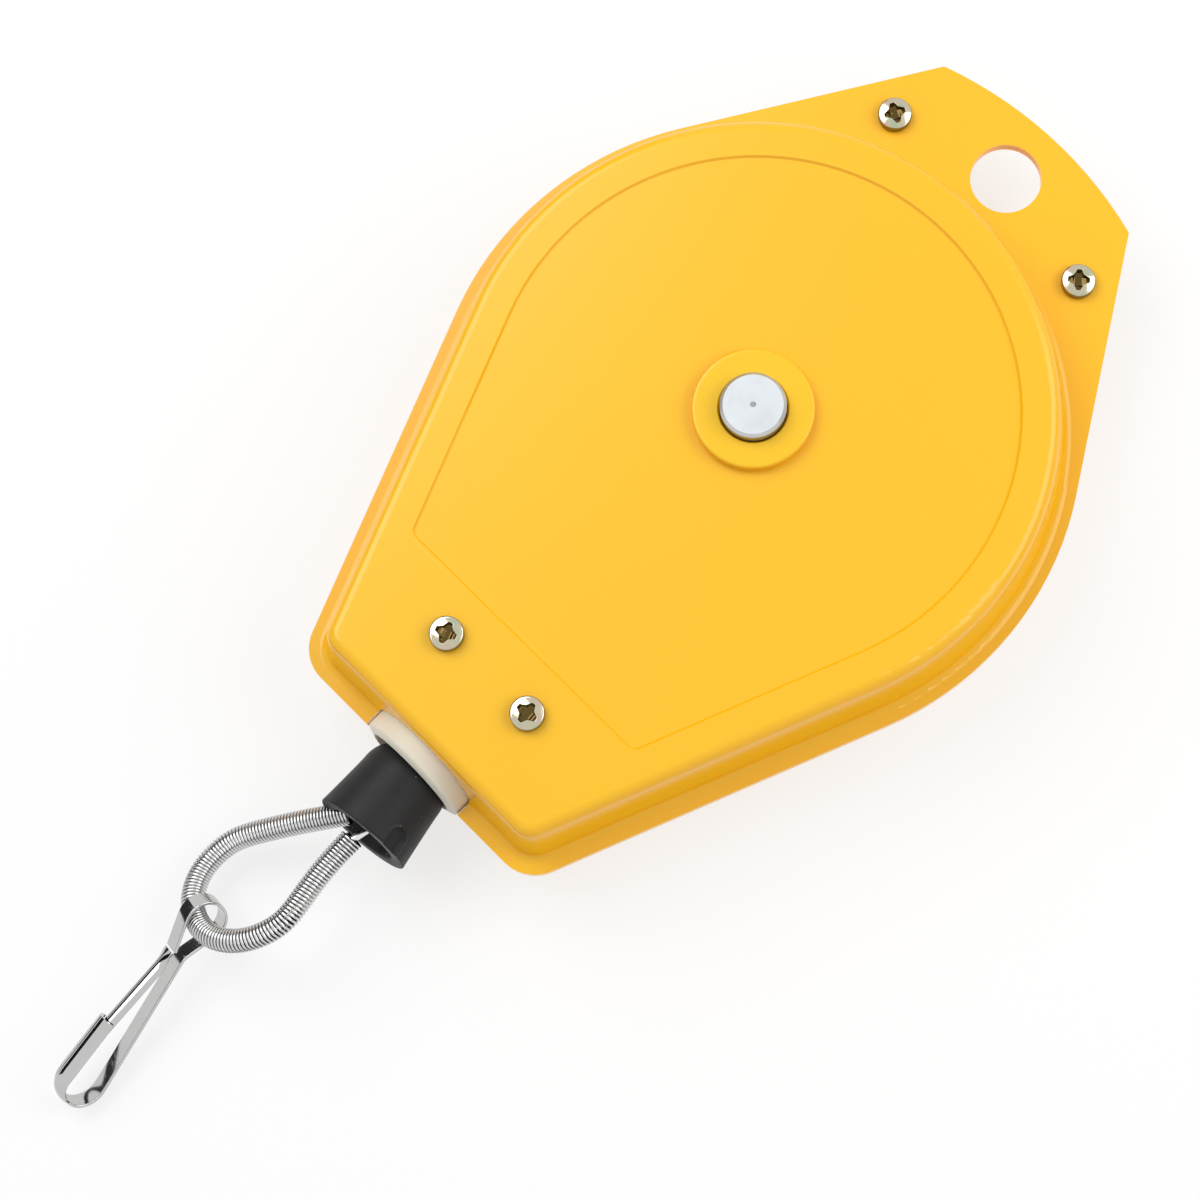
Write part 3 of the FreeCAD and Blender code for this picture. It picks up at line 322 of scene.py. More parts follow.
EFFECTS = {
    "SoftPatches": (soft_patches, "Mask", {"Scale": 40.0, "Low": 0.4, "High": 0.6}),
    "DustSpecks": (dust_specks, "Mask", {"Scale": 400.0, "Size": 0.16, "Share": 0.6}),
    "FineGrain": (fine_grain, "Height", {"Scale": 900.0}),
    "HairlineScratches": (hairline_scratches, "Mask", {"Scale": 30.0, "Turn": 0.4}),
}


def effect(tree, name, where, **values):
    """The output of a shared shader node group, which is made once from its row in EFFECTS."""
    build, output, inputs = EFFECTS[name]
    group = bpy.data.node_groups.get(name)
    if group is None:
        group = bpy.data.node_groups.new(name, "ShaderNodeTree")
        group.interface.new_socket("Vector", in_out="INPUT", socket_type="NodeSocketVector")
        for label, default in inputs.items():
            socket = group.interface.new_socket(label, in_out="INPUT", socket_type="NodeSocketFloat")
            socket.default_value = default
        group.interface.new_socket(output, in_out="OUTPUT", socket_type="NodeSocketFloat")
        entry, leave = group.nodes.new("NodeGroupInput"), group.nodes.new("NodeGroupOutput")
        group.links.new(build(group, entry.outputs), leave.inputs[output])
    placed = node(tree, "ShaderNodeGroup", node_tree=group)
    return fill_inputs(tree, placed, {"Vector": where, **values}).outputs[output]


def blank_material(name, **sockets):
    """A material with a Principled shader whose sockets are set, and the Object coordinates to paint with."""
    made = bpy.data.materials.new(name)
    made.use_nodes = True
    tree = made.node_tree
    tree.nodes.clear()
    shader = node(tree, "ShaderNodeBsdfPrincipled",
                  {label.replace("_", " "): value for label, value in sockets.items()})
    node(tree, "ShaderNodeOutputMaterial", {"Surface": shader.outputs["BSDF"]})
    return made, tree, shader, tree.nodes.new("ShaderNodeTexCoord").outputs["Object"]


def colour_mix(tree, mask, first, second):
    """first where the mask is 0, second where it is 1."""
    first, second = (value if isinstance(value, bpy.types.NodeSocket) else (*value, 1.0)[:4]
                     for value in (first, second))
    return node(tree, "ShaderNodeMix", {0: mask, 6: first, 7: second}, data_type="RGBA").outputs[2]


def scaled(colour, factors):
    """A colour times one number, or times a number for each channel."""
    return tuple((np.array(colour) * factors).tolist())


def value_range(tree, mask, low, high):
    """low where the mask is 0, high where it is 1."""
    return node(tree, "ShaderNodeMapRange", {"Value": mask, "To Min": low, "To Max": high}).outputs["Result"]


def bump(tree, height, strength, distance):
    """The normal that a height gives."""
    return node(tree, "ShaderNodeBump", {"Height": height, "Strength": strength,
                                         "Distance": distance}).outputs["Normal"]


def coat(tree, shader, colour, roughness, normal):
    """Feeds the three sockets that every finish paints."""
    fill_inputs(tree, shader, {"Base Color": colour, "Roughness": roughness, "Normal": normal})


def painted_shade(tree):
    """The painted shade that the piece's points keep in their shade attribute."""
    return node(tree, "ShaderNodeAttribute", attribute_name="shade").outputs["Fac"]


def steepness(tree):
    """0 on level faces of the piece, 1 on its walls, from the height of the object's own normal."""
    normal = tree.nodes.new("ShaderNodeTexCoord").outputs["Normal"]
    parts = node(tree, "ShaderNodeSeparateXYZ", {"Vector": normal})
    return node(tree, "ShaderNodeMapRange", {"Value": maths(tree, "ABSOLUTE", parts.outputs["Z"]), "From Min": 0.985,
                                             "From Max": 0.55}).outputs["Result"]


def enamel(name, colour, deep):
    """Gloss enamel on sheet steel: walls and fillets are painted a deeper orange as shade, and its colour drifts a
    little; it has a slight orange peel and a few dust specks."""
    made, tree, shader, where = blank_material(name, Specular_IOR_Level=0.5)
    drift = effect(tree, "SoftPatches", where, Scale=9.0, Low=0.3, High=0.7)
    dust = effect(tree, "DustSpecks", where, Scale=260.0, Size=0.04, Share=0.95)
    steep = steepness(tree)
    # Painted shade: steep faces, the walls and fillets, take the deeper orange.
    painted = colour_mix(tree, steep, colour_mix(tree, drift, colour, scaled(colour, (1.0, 0.975, 0.9))), deep)
    peel = effect(tree, "FineGrain", where, Scale=700.0)
    coat(tree, shader, colour_mix(tree, dust, painted, (0.93, 0.66, 0.20)), value_range(tree, steep, 0.22, 0.17),
         bump(tree, peel, 0.05, 0.00005))
    return made


def nylon(name, colour, stained):
    """Ivory nylon: milky, with faint brown stains and a fine moulded grain."""
    made, tree, shader, where = blank_material(name, Specular_IOR_Level=0.4, Subsurface_Weight=0.30,
                                               Subsurface_Scale=0.002)
    stain = effect(tree, "SoftPatches", where, Scale=110.0, Low=0.58, High=0.78)
    mottle = effect(tree, "SoftPatches", where, Scale=35.0, Low=0.3, High=0.7)
    grain = effect(tree, "FineGrain", where, Scale=1800.0)
    mottled = colour_mix(tree, mottle, colour, scaled(colour, (0.93, 0.91, 0.87)))
    coat(tree, shader, colour_mix(tree, stain, mottled, stained), value_range(tree, mottle, 0.42, 0.52),
         bump(tree, grain, 0.12, 0.00004))
    return made


def rubber(name, colour, dust_colour):
    """Matt black rubber: slightly cloudy, with pale dust specks and a few scuffs."""
    made, tree, shader, where = blank_material(name, Specular_IOR_Level=0.22)
    cloud = effect(tree, "SoftPatches", where, Scale=160.0, Low=0.35, High=0.7)
    scuff = effect(tree, "SoftPatches", where, Scale=420.0, Low=0.68, High=0.80)
    dust = effect(tree, "DustSpecks", where, Scale=560.0, Size=0.09, Share=0.90)
    grain = effect(tree, "FineGrain", where, Scale=2600.0)
    scuffed = colour_mix(tree, scuff, colour_mix(tree, cloud, colour, scaled(colour, 1.35)), scaled(colour, 1.8))
    coat(tree, shader, colour_mix(tree, dust, scuffed, dust_colour), value_range(tree, cloud, 0.44, 0.56),
         bump(tree, grain, 0.25, 0.00005))
    return made


def plain_metal(name, colour, roughness, grain_scale=1500.0, grain=0.08, scratch=0.0):
    """Bare or plated metal: cloudy roughness, fine grain, hairline scratches, and painted shade where it is marked."""
    made, tree, shader, where = blank_material(name, Metallic=1.0)
    cloud = effect(tree, "SoftPatches", where, Scale=120.0, Low=0.3, High=0.7)
    clouded = colour_mix(tree, cloud, colour, scaled(colour, 0.93))
    lines = effect(tree, "HairlineScratches", where, Scale=40.0, Turn=0.5)
    polish = value_range(tree, cloud, roughness * 0.85, roughness * 1.2)
    height = effect(tree, "FineGrain", where, Scale=grain_scale)
    # Painted shade: where the shade attribute is high, between the sleeve's turns, the colour goes down to near black.
    coat(tree, shader, colour_mix(tree, painted_shade(tree), clouded, scaled(colour, 0.08)),
         maths(tree, "MULTIPLY_ADD", lines, scratch, polish), bump(tree, height, grain, 0.00003))
    return made


def turned_steel(name, colour, centre):
    """Zinc-plated turned end: fine rings round the axis, as a noise of the distance from it."""
    made, tree, shader, where = blank_material(name, Metallic=1.0)
    moved = vector_maths(tree, "SUBTRACT", where, (float(centre[0]), float(centre[1]), 0.0))
    flat = vector_maths(tree, "MULTIPLY", moved.outputs["Vector"], (1.0, 1.0, 0.0))
    reach = vector_maths(tree, "LENGTH", flat.outputs["Vector"])
    rings = node(tree, "ShaderNodeTexNoise", {"W": reach.outputs["Value"], "Scale": 3200.0, "Detail": 3.0},
                 noise_dimensions="1D").outputs["Fac"]
    cloud = effect(tree, "SoftPatches", where, Scale=220.0, Low=0.3, High=0.7)
    coat(tree, shader, colour_mix(tree, cloud, colour, scaled(colour, 0.9)), value_range(tree, rings, 0.24, 0.42),
         bump(tree, rings, 0.22, 0.00003))
    return made


def yellow_zinc(name, straw, green, rose):
    """Yellow-passivated zinc: straw, green and rose drift into one another over a millimetre; the recess and
    the head's rim, where the shade attribute is high, are painted a dark olive as shade."""
    made, tree, shader, where = blank_material(name, Metallic=1.0)
    noise = node(tree, "ShaderNodeTexNoise", {"Vector": where, "Scale": 260.0, "Detail": 2.0})
    ramp = node(tree, "ShaderNodeValToRGB", {"Fac": noise.outputs["Fac"]})
    stops = ramp.color_ramp.elements
    stops[0].position, stops[0].color = 0.36, (*green, 1)
    stops[1].position, stops[1].color = 0.64, (*rose, 1)
    stops.new(0.5).color = (*straw, 1)
    cloud = effect(tree, "SoftPatches", where, Scale=900.0, Low=0.3, High=0.7)
    height = effect(tree, "FineGrain", where, Scale=1600.0)
    # Painted shade: the recess and the head's rim, marked in the shade attribute, are painted dark olive.
    coat(tree, shader, colour_mix(tree, painted_shade(tree), ramp.outputs["Color"], (0.11, 0.075, 0.025)),
         value_range(tree, cloud, 0.08, 0.16), bump(tree, height, 0.12, 0.00004))
    return made


def stranded_wire(name, colour, strands):
    """Wire rope: rounded strands as the sine of strands * (turn + length over lay), read from the piece's UV map."""
    made, tree, shader, where = blank_material(name, Metallic=1.0)
    uv = node(tree, "ShaderNodeUVMap", uv_map="UVMap")
    parts = node(tree, "ShaderNodeSeparateXYZ", {"Vector": uv.outputs["UV"]})
    phase = maths(tree, "MULTIPLY", maths(tree, "ADD", parts.outputs["X"], parts.outputs["Y"]), strands * math.pi)
    strand = maths(tree, "ABSOLUTE", maths(tree, "SINE", phase))
    # Painted shade: the grooves between strands are painted at 0.35 of the colour.
    coat(tree, shader, colour_mix(tree, strand, scaled(colour, 0.35), colour), 0.28, bump(tree, strand, 0.6, 0.0002))
    return made


MATERIALS = {}


def finish(name):
    """The finish of that name, made once."""
    if name not in MATERIALS:
        paint = bpy.context.scene.balancer_paint
        MATERIALS[name] = {
            "shell": lambda: enamel("shell_enamel", paint.shell, paint.shell_wall_shade),
            "collar": lambda: enamel("collar_enamel", paint.collar, paint.collar_edge_shade),
            "nylon": lambda: nylon("guide_nylon", paint.nylon, (0.50, 0.36, 0.20)),
            "rubber": lambda: rubber("stop_rubber", paint.rubber, (0.20, 0.20, 0.19)),
            "shaft": lambda: turned_steel("turned_zinc", (0.57, 0.60, 0.62), DRUM_AXIS),
            "screw": lambda: yellow_zinc("yellow_zinc", (0.55, 0.51, 0.37), (0.44, 0.50, 0.35),
                                         (0.58, 0.47, 0.38)),
            "hook": lambda: plain_metal("nickel_plate", (0.55, 0.55, 0.545), 0.07, 900.0, 0.02, 0.12),
            "sleeve": lambda: plain_metal("bright_spring_wire", (0.66, 0.66, 0.66), 0.11, 1500.0, 0.02),
            "wire": lambda: stranded_wire("stranded_wire", (0.78, 0.78, 0.77), 6),
            "eye": lambda: plain_metal("bright_rope", (0.80, 0.80, 0.79), 0.18, 2400.0, 0.10),
            "zinc": lambda: plain_metal("bright_zinc", (0.72, 0.74, 0.76), 0.30),
            "hardened": lambda: plain_metal("oiled_steel", (0.30, 0.30, 0.31), 0.38),
            "blued": lambda: plain_metal("blued_spring_steel", (0.16, 0.18, 0.23), 0.30),
            "cast": lambda: plain_metal("cast_aluminium", (0.62, 0.63, 0.64), 0.48, 700.0, 0.35),
            "pressed": lambda: plain_metal("pressed_aluminium", (0.70, 0.71, 0.72), 0.36),
            "bronze": lambda: plain_metal("sintered_bronze", (0.52, 0.36, 0.18), 0.45, 1200.0, 0.30),
        }[name]()
    return MATERIALS[name]


def dress(names, name):
    """Gives CAD nodes a finish."""
    for label in names:
        mesh = frame["nodes"][label].data
        mesh.materials.clear()
        mesh.materials.append(finish(name))


def complete(piece, name, body, replaces=()):
    """Gives a new piece its finish and body, and hides the CAD nodes that it stands for."""
    piece.data.materials.clear()
    piece.data.materials.append(finish(name))
    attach(piece, body)
    if replaces:
        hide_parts(*replaces)
    return piece


# Sizes and colours that a user would change

def colour_property(name, words, default):
    return bpy.props.FloatVectorProperty(name=name, description=words, default=default, size=3, min=0, max=1,
                                         subtype="COLOR")


def length_property(name, words, default):
    return bpy.props.FloatProperty(name=name, description=words, default=default, min=0.0, precision=5,
                                   unit="LENGTH")


class BalancerPaint(bpy.types.PropertyGroup):
    shell: colour_property("Shell", "Enamel of the two shells", (0.95, 0.535, 0.010))
    # Painted shade: the wall and edge colours are the deeper orange that steep faces are painted as shade.
    shell_wall_shade: colour_property("Shell walls", "Enamel where it lies deeper, on walls and fillets",
                                (0.99, 0.49, 0.003))
    collar: colour_property("Collar", "Enamel of the bush's collar", (0.95, 0.565, 0.008))
    collar_edge_shade: colour_property("Collar edge", "Enamel down the collar's edge", (0.93, 0.46, 0.002))
    nylon: colour_property("Guide", "Ivory nylon of the rope guide", (0.86, 0.81, 0.69))
    rubber: colour_property("Stop", "Rubber of the stop", (0.014, 0.014, 0.0145))


class BalancerScrews(bpy.types.PropertyGroup):
    head_radius: length_property("Head radius", "Radius of the pan head", 4.05 * MM)
    head_height: length_property("Head height", "Height of the pan head", 2.9 * MM)
    dome: length_property("Dome", "How far the head's top is domed", 0.75 * MM)
    recess_depth: length_property("Recess depth", "Depth of the cross recess", 1.8 * MM)
    recess_reach: length_property("Recess reach", "Middle of the head to the end of a recess arm", 2.6 * MM)


class BalancerStop(bpy.types.PropertyGroup):
    length: length_property("Length", "Length of the rubber stop", 19.6 * MM)
    neck_radius: length_property("Neck radius", "Radius of the end at the guide", 7.4 * MM)
    shoulder_radius: length_property("Shoulder radius", "Radius under the round shoulder", 10.9 * MM)
    mouth_radius: length_property("Mouth radius", "Radius of the open end", 12.3 * MM)
    wall: length_property("Wall", "Wall at the mouth", 3.7 * MM)
    cavity: length_property("Cavity", "Depth of the hollow", 12.0 * MM)
    lean: bpy.props.FloatProperty(name="Lean", description="Lean of the stop against the pull",
                                  default=math.radians(6.5), subtype="ANGLE")
    mouth_tilt: bpy.props.FloatProperty(name="Mouth tilt", description="How far the open end faces upwards",
                                        default=math.radians(9.0), subtype="ANGLE")


class BalancerGuide(bpy.types.PropertyGroup):
    radius: length_property("Radius", "Radius of the guide's rim", 14.75 * MM)
    thick: length_property("Thickness", "Shell to the rim's front corner", 7.5 * MM)
    dish_radius: length_property("Dish radius", "Radius of the hollow that takes the stop's neck", 11.6 * MM)
    bore_radius: length_property("Bore radius", "Radius of the rope's hole", 1.6 * MM)
    slope: bpy.props.FloatProperty(name="Slope", description="How far the guide's face turns upwards",
                                   default=math.radians(5.5), subtype="ANGLE")


class BalancerRope(bpy.types.PropertyGroup):
    diameter: length_property("Rope diameter", "Diameter of the wire rope", 1.8 * MM)
    eye_length: length_property("Eye length", "Rope in the eye, from crimp to crimp", 122.0 * MM)
    sleeve_radius: length_property("Sleeve radius", "Outside radius of the coil sleeve", 2.9 * MM)
    wire: length_property("Sleeve wire", "Diameter of the coiled wire", 0.80 * MM)
    pitch: length_property("Sleeve pitch", "From one turn to the next", 0.88 * MM)


class BalancerHook(bpy.types.PropertyGroup):
    strip: length_property("Strip", "Thickness of the strip", 0.7 * MM)
    width: length_property("Width", "Width of the flat strip", 5.1 * MM)
    ring_radius: length_property("Ring radius", "Outside radius of the hook's ring", 5.4 * MM)
    bow_radius: length_property("Bow radius", "Outside radius of the bow", 6.2 * MM)
    nose_width: length_property("Nose width", "Width of the nose channel", 5.7 * MM)
    nose_sag: length_property("Nose depth", "Depth of the nose channel", 2.3 * MM)
    gate_width: length_property("Gate width", "Width of the half-round gate", 3.7 * MM)
    gate_sag: length_property("Gate depth", "Depth of the half-round gate", 1.5 * MM)


class BalancerStage(bpy.types.PropertyGroup):
    lens: bpy.props.FloatProperty(name="Lens", description="Focal length on a 36 mm sensor", default=84.0, min=10,
                                  subtype="DISTANCE_CAMERA")
    floor: colour_property("Floor", "Colour of the floor and backdrop", (0.97, 0.97, 0.97))
    card: colour_property("Card", "Colour of the dark cards that the metals mirror", (0.02, 0.02, 0.02))
    key: bpy.props.FloatProperty(name="Key light", description="Strength of the large soft light", default=7.5,
                                 min=0)
    fill: bpy.props.FloatProperty(name="Fill light", description="Strength of the world's light", default=0.475,
                                  min=0)
    clean: bpy.props.FloatProperty(name="Clean floor", description="How much of the floor the camera sees unshaded",
                                   default=0.72, min=0, max=1)


# Geometry that several pieces share

EYE_START = np.array([-1.5, -219.5, 0.0]) * MM
EYE_ALONG, EYE_ACROSS, EYE_OUT = inclined_axes((-0.258, -0.950, -0.178), math.radians(30), 1)
EYE_ROUTE = [(-1.8, -3.0), (4.4, -5.8), (10.3, -8.5), (16.4, -11.0), (22.6, -13.4), (26.8, -14.6), (31.0, -14.5),
             (35.2, -13.3), (38.9, -10.9), (41.6, -7.2), (42.8, -2.6), (42.4, 2.2), (40.4, 6.8), (36.8, 10.6),
             (32.2, 13.3), (27.2, 14.5), (22.4, 14.4), (18.8, 12.9), (14.1, 10.1), (9.4, 7.6), (4.4, 5.5),
             (-0.4, 3.9)]
CRIMP_LEG = 1.7 * MM
CRIMP_END = 15.9 * MM
RING_AT = 41.6
RING_SHIFT = np.array([0.15, -0.45, 0.0]) * MM
HOOK_ALONG, HOOK_ACROSS, HOOK_OUT = inclined_axes((0.078, -0.993, -0.071), math.radians(46), -1)


def eye_place(along, across):
    """Row-frame place of a point of the rope eye's plane, given in millimetres."""
    return EYE_START + (EYE_ALONG * along + EYE_ACROSS * across) * MM


def stop_start(stop):
    """How far the stop's neck lies in front of the guide: the running gap and what its lean takes."""
    return 0.3 * MM + stop.neck_radius * math.sin(stop.lean)


def stop_place(stop, along, x=0.0, z=0.0):
    """Row-frame place of points given along the stop's own axis, which leans about the guide's front."""
    v = -(stop_start(stop) + np.asarray(along, float))
    c, s = math.cos(stop.lean), math.sin(stop.lean)
    return places(x * c - v * s, x * s + v * c + GUIDE_FRONT, z)


def nurbs_curve(name, points):
    """An open NURBS curve of order 3 with those points as its control points."""
    data = bpy.data.curves.new(name, "CURVE")
    data.dimensions = "3D"
    data.resolution_u = 24
    spline = data.splines.new("NURBS")
    spline.points.add(len(points) - 1)
    for target, place in zip(spline.points, points):
        target.co = (*[float(c) for c in place], 1.0)
    spline.order_u = 3
    spline.use_endpoint_u = True
    return data


def nurbs_line(points):
    """The points that Blender gives along that curve."""
    data = nurbs_curve("route", points)
    holder = bpy.data.objects.new("route", data)
    mesh = bpy.data.meshes.new_from_object(holder)
    spots = np.empty(len(mesh.vertices) * 3)
    mesh.vertices.foreach_get("co", spots)
    bpy.data.objects.remove(holder)
    bpy.data.meshes.remove(mesh)
    bpy.data.curves.remove(data)
    return spots.reshape(-1, 3)


def eye_points(stop):
    """Control points of the rope eye, from one leg in the crimp round the loop to the other."""
    crimp = stop_place(stop, CRIMP_END)
    loop = [eye_place(*spot) for spot in EYE_ROUTE]
    return [crimp - EYE_ACROSS * CRIMP_LEG] + loop + [crimp + EYE_ACROSS * CRIMP_LEG]


# Operators: one for each group of pieces

class BALANCER_OT_housing(bpy.types.Operator):
    """Enamels the drawn shells, and turns the bush whose collar shows round the shaft"""
    bl_idname = "balancer.housing"
    bl_label = "Housing"

    def execute(self, context):
        dress(("front_shell", "back_shell"), "shell")
        low, high = box_corners("front_bush")
        bore, barrel, rim = 7.9 * MM, 10.5 * MM, (high[0] - low[0]) / 2
        panel, top = high[2] - 2.8 * MM, high[2]
        outline = rounded_corner(np.array([
            [low[2], bore], [low[2], barrel], [panel, barrel], [panel, rim], [panel + 0.6 * MM, rim], [top, rim],
            [top, rim - 1.2 * MM], [top, 9.2 * MM], [top, 8.35 * MM], [top - 0.55 * MM, bore + 0.05 * MM],
            [top - 1.2 * MM, bore]]), 5, 0.95 * MM, 9)

        def upright(along, x, y):
            return places(x + DRUM_AXIS[0], y + DRUM_AXIS[1], along)

        collar = joined("collar_bush", [turned("bush", outline, upright, 128)])
        complete(collar, "collar", "housing", ("front_bush",))
        return {"FINISHED"}


class BALANCER_OT_guide(bpy.types.Operator):
    """Turns the ivory guide: thick rim, face that rises to the dish round the stop's neck, groove and flared bore"""
    bl_idname = "balancer.guide"
    bl_label = "Guide"

    def execute(self, context):
        sizes = context.scene.balancer_guide
        floor, corner, flare, web, flange = 5.1 * MM, sizes.thick, 2.6 * MM, 12.5 * MM, 14.4 * MM
        wall = GUIDE_FRONT + floor
        rim, dish, bore = sizes.radius, sizes.dish_radius, sizes.bore_radius
        turn = np.linspace(0, np.pi / 2, 9)
        sink, widen = flare * (1 - np.sin(turn)), bore + flare * (1 - np.cos(turn))
        outline = np.vstack([
            np.stack([floor - sink, widen], 1),
            [[floor, dish - 0.7 * MM], [floor + 0.7 * MM, dish], [corner + 0.5 * MM, dish + 0.15 * MM],
             [corner + 0.85 * MM, dish + 0.5 * MM], [corner + 0.1 * MM, rim - 0.3 * MM], [corner - 0.35 * MM, rim],
             [2.0 * MM, rim], [0.05 * MM, rim], [0.05 * MM, web], [-1.55 * MM, web], [-1.55 * MM, flange],
             [-4.55 * MM, flange], [-4.55 * MM, 6.0 * MM]],
            np.stack([sink[::-1] - 5.9 * MM, widen[::-1]], 1)])

        def across(along, x, z):
            sloped = smooth_step(along, 0.5 * MM, corner - 1.0 * MM) * math.tan(sizes.slope)
            return places(x, wall - along + z * sloped, z)

        guide = joined("nylon_guide", [turned("plug", outline, across, 128)])
        complete(guide, "nylon", "housing", ("rope_guide",))
        return {"FINISHED"}


class BALANCER_OT_mechanism(bpy.types.Operator):
    """Gives the shaft, ratchet, drum, spring clips and bushes their metals"""
    bl_idname = "balancer.mechanism"
    bl_label = "Mechanism"

    def execute(self, context):
        for name, labels in {
                "shaft": ["tension_shaft"],
                "hardened": ["ratchet_wheel", "pawl"],
                "blued": ["shaft_clip", "front_bush_ring", "back_bush_ring"],
                "cast": ["rope_drum"],
                "zinc": ["drum_cover", "standoffs", "pawl_pin"],
                "bronze": ["back_bush", "drum_bush", "cover_bush"],
                "pressed": ["rope_crimp", "rope_anchor"],
                "eye": ["rope_turns"],
                "screw": ["tab_washers", "tab_nuts", "cover_screws"]}.items():
            dress(labels, name)
        return {"FINISHED"}


class BALANCER_OT_springs(bpy.types.Operator):
    """Winds the power spring on the drum with its tab in the shaft, and the pawl's spring with one leg on the pawl"""
    bl_idname = "balancer.springs"
    bl_label = "Springs"

    def execute(self, context):
        low, high = box_corners("power_spring")
        middle, half = (low[2] + high[2]) / 2, (high[2] - low[2]) / 2
        thick, bevel = 0.3 * MM, 0.12 * MM
        section = np.array([[-thick, half - bevel], [-thick, bevel - half], [bevel - thick, -half],
                            [thick - bevel, -half], [thick, bevel - half], [thick, half - bevel],
                            [thick - bevel, half], [bevel - thick, half]])
        inner, outer, windings = 10.9 * MM, high[0] - DRUM_AXIS[0] - thick, 6
        turn = np.linspace(0, 2 * windings * np.pi, 720)[:, None]
        r = inner + (outer - inner) * turn / turn[-1] + section[:, 0]
        grid = places(DRUM_AXIS[0] + r * np.cos(turn), DRUM_AXIS[1] + r * np.sin(turn), middle + section[:, 1])
        complete(joined("spring_spiral", [rod("coil", grid)]), "blued", "drum", ("power_spring",))
        reach = np.linspace(3.0, 10.3, 12)[:, None] * MM
        grid = places(DRUM_AXIS[0] + reach, DRUM_AXIS[1] + section[:, 0], middle + section[:, 1])
        complete(joined("spring_tab", [rod("tab", grid)]), "blued", "tension_shaft")

        pivot = box_corners("pawl_pin").mean(axis=0)
        pivot[2] = -9.5 * MM
        wire, coil_r = 0.35 * MM, 3.35 * MM
        around = circle(16)
        outline = np.stack([wire * np.sin(around), coil_r + wire * np.cos(around)], 1)

        def about_pin(along, x, y):
            return places(pivot[0] + x, pivot[1] + y, pivot[2] + along)

        def leg(name, route):
            path, _ = along_path(pivot + np.array(route) * MM, 90)
            return rod(name, tube_round(softened(path, 5), 12, wire, np.tile(UP, (len(path), 1))))

        anchor = leg("anchor_leg", [(-3.35, -0.7, 0), (-3.7, 4.5, 0), (-7.0, 13.0, 0), (-13.6, 14.6, 0)])
        coil = joined("pawl_coil", [turned("coil", outline, about_pin, 64), anchor])
        complete(coil, "blued", "housing", ("pawl_spring",))
        push = leg("push_leg", [(0.7, -3.35, 0), (5.0, -3.9, 0), (9.0, -3.4, 0), (9.8, -3.5, -1.2), (9.9, -3.6, -3.4)])
        complete(joined("pawl_leg", [push]), "blued", "pawl")
        return {"FINISHED"}


def screw_head(name, x, y, seat, turn, sizes):
    """Pan head as a polar grid: the side rises with a rounded foot and shoulder, the top is a shallow dome, and four
    tapering arms sink into it. An arm's half width grows outwards, and its wall slopes to the floor."""
    radius, height = sizes.head_radius, sizes.head_height
    turns = circle(224)
    share = np.concatenate([np.linspace(0.0, 0.70, 52), np.linspace(0.72, 0.985, 12)])
    shoulder = 0.55 * MM
    edge = np.linspace(0, np.pi / 2, 8)[1:]
    top_r = radius * share * (1 - shoulder / radius) / 0.985
    top_z = height - sizes.dome * (top_r / radius) ** 2
    corner_r = radius - shoulder + shoulder * np.sin(edge)
    corner_z = top_z[-1] - shoulder * (1 - np.cos(edge))
    side_z = np.linspace(corner_z[-1], 0.12 * MM, 5)[1:]
    r = np.concatenate([top_r, corner_r, np.full(len(side_z), radius), [radius - 0.12 * MM, radius - 0.5 * MM]])
    z = np.concatenate([top_z, corner_z, side_z, [0.0, 0.0]])
    x_flat = r[:, None] * np.cos(turns)
    y_flat = r[:, None] * np.sin(turns)
    reach = np.maximum(np.abs(x_flat), np.abs(y_flat))
    off = np.minimum(np.abs(x_flat), np.abs(y_flat))
    half = 0.62 * MM + 0.55 * MM * (1 - smooth_step(reach, 1.1 * MM, 2.5 * MM))
    end = sizes.recess_reach * (1 - 0.04 * (off / half) ** 2)
    inside = np.minimum(smooth_step(half - off, 0.0, 0.22 * MM), smooth_step(end - reach, 0.0, 0.26 * MM))
    core = smooth_step(1.75 * MM - np.hypot(x_flat, y_flat), 0.0, 0.30 * MM)
    deep = sizes.recess_depth * (0.70 + 0.30 * smooth_step(1.9 * MM - reach, 0, 1.2 * MM))
    sunk = np.maximum(inside, core) * (r[:, None] < radius * 0.75)
    z_flat = z[:, None] - deep * sunk
    c, s = math.cos(turn), math.sin(turn)
    grid = places(x + x_flat * c - y_flat * s, y + x_flat * s + y_flat * c, seat + z_flat)
    # Painted shade: the cross recess and a ring round the head's edge are marked dark in the shade attribute.
    rim = 0.8 * smooth_step(r[:, None], 0.93 * radius, radius)
    return surface(name, grid[::-1], wrap_v=True, shade=np.maximum(smooth_step(sunk, 0.1, 0.7), rim)[::-1])


def screw_shank(name, x, y, low, seat):
    """Threaded shank: the radius swings with the height and the turn, which winds the ridge up the screw."""
    pitch = 0.7 * MM
    heights = np.arange(low, seat + 0.2 * MM, pitch / 6)
    turns = circle(24)
    ridge = np.cos(2 * np.pi * heights[:, None] / pitch + turns)
    taper = smooth_step(heights, low - 0.1 * MM, low + 0.5 * MM)[:, None]
    r = (1.55 * MM + 0.2 * MM * taper) + 0.16 * MM * ridge * taper
    return rod(name, places(x + r * np.cos(turns), y + r * np.sin(turns), heights[:, None]))


class BALANCER_OT_screws(bpy.types.Operator):
    """Makes the four pan-head screws with their cross recesses"""
    bl_idname = "balancer.screws"
    bl_label = "Screws"

    def execute(self, context):
        sizes = context.scene.balancer_screws
        for label, seat, turns in (("tab_screws", FLANGE_Z, (-28, 40)), ("body_screws", FACE_Z, (20, 5))):
            low, high = box_corners(label)
            y = (low[1] + high[1]) / 2
            heads = []
            for x, turn in zip((low[0] + sizes.head_radius, high[0] - sizes.head_radius), turns):
                heads.append(screw_head("head", x, y, seat, math.radians(turn), sizes))
                heads.append(screw_shank("shank", x, y, low[2], seat))
            complete(joined(label + "_finished", heads), "screw", "housing", (label,))
        return {"FINISHED"}


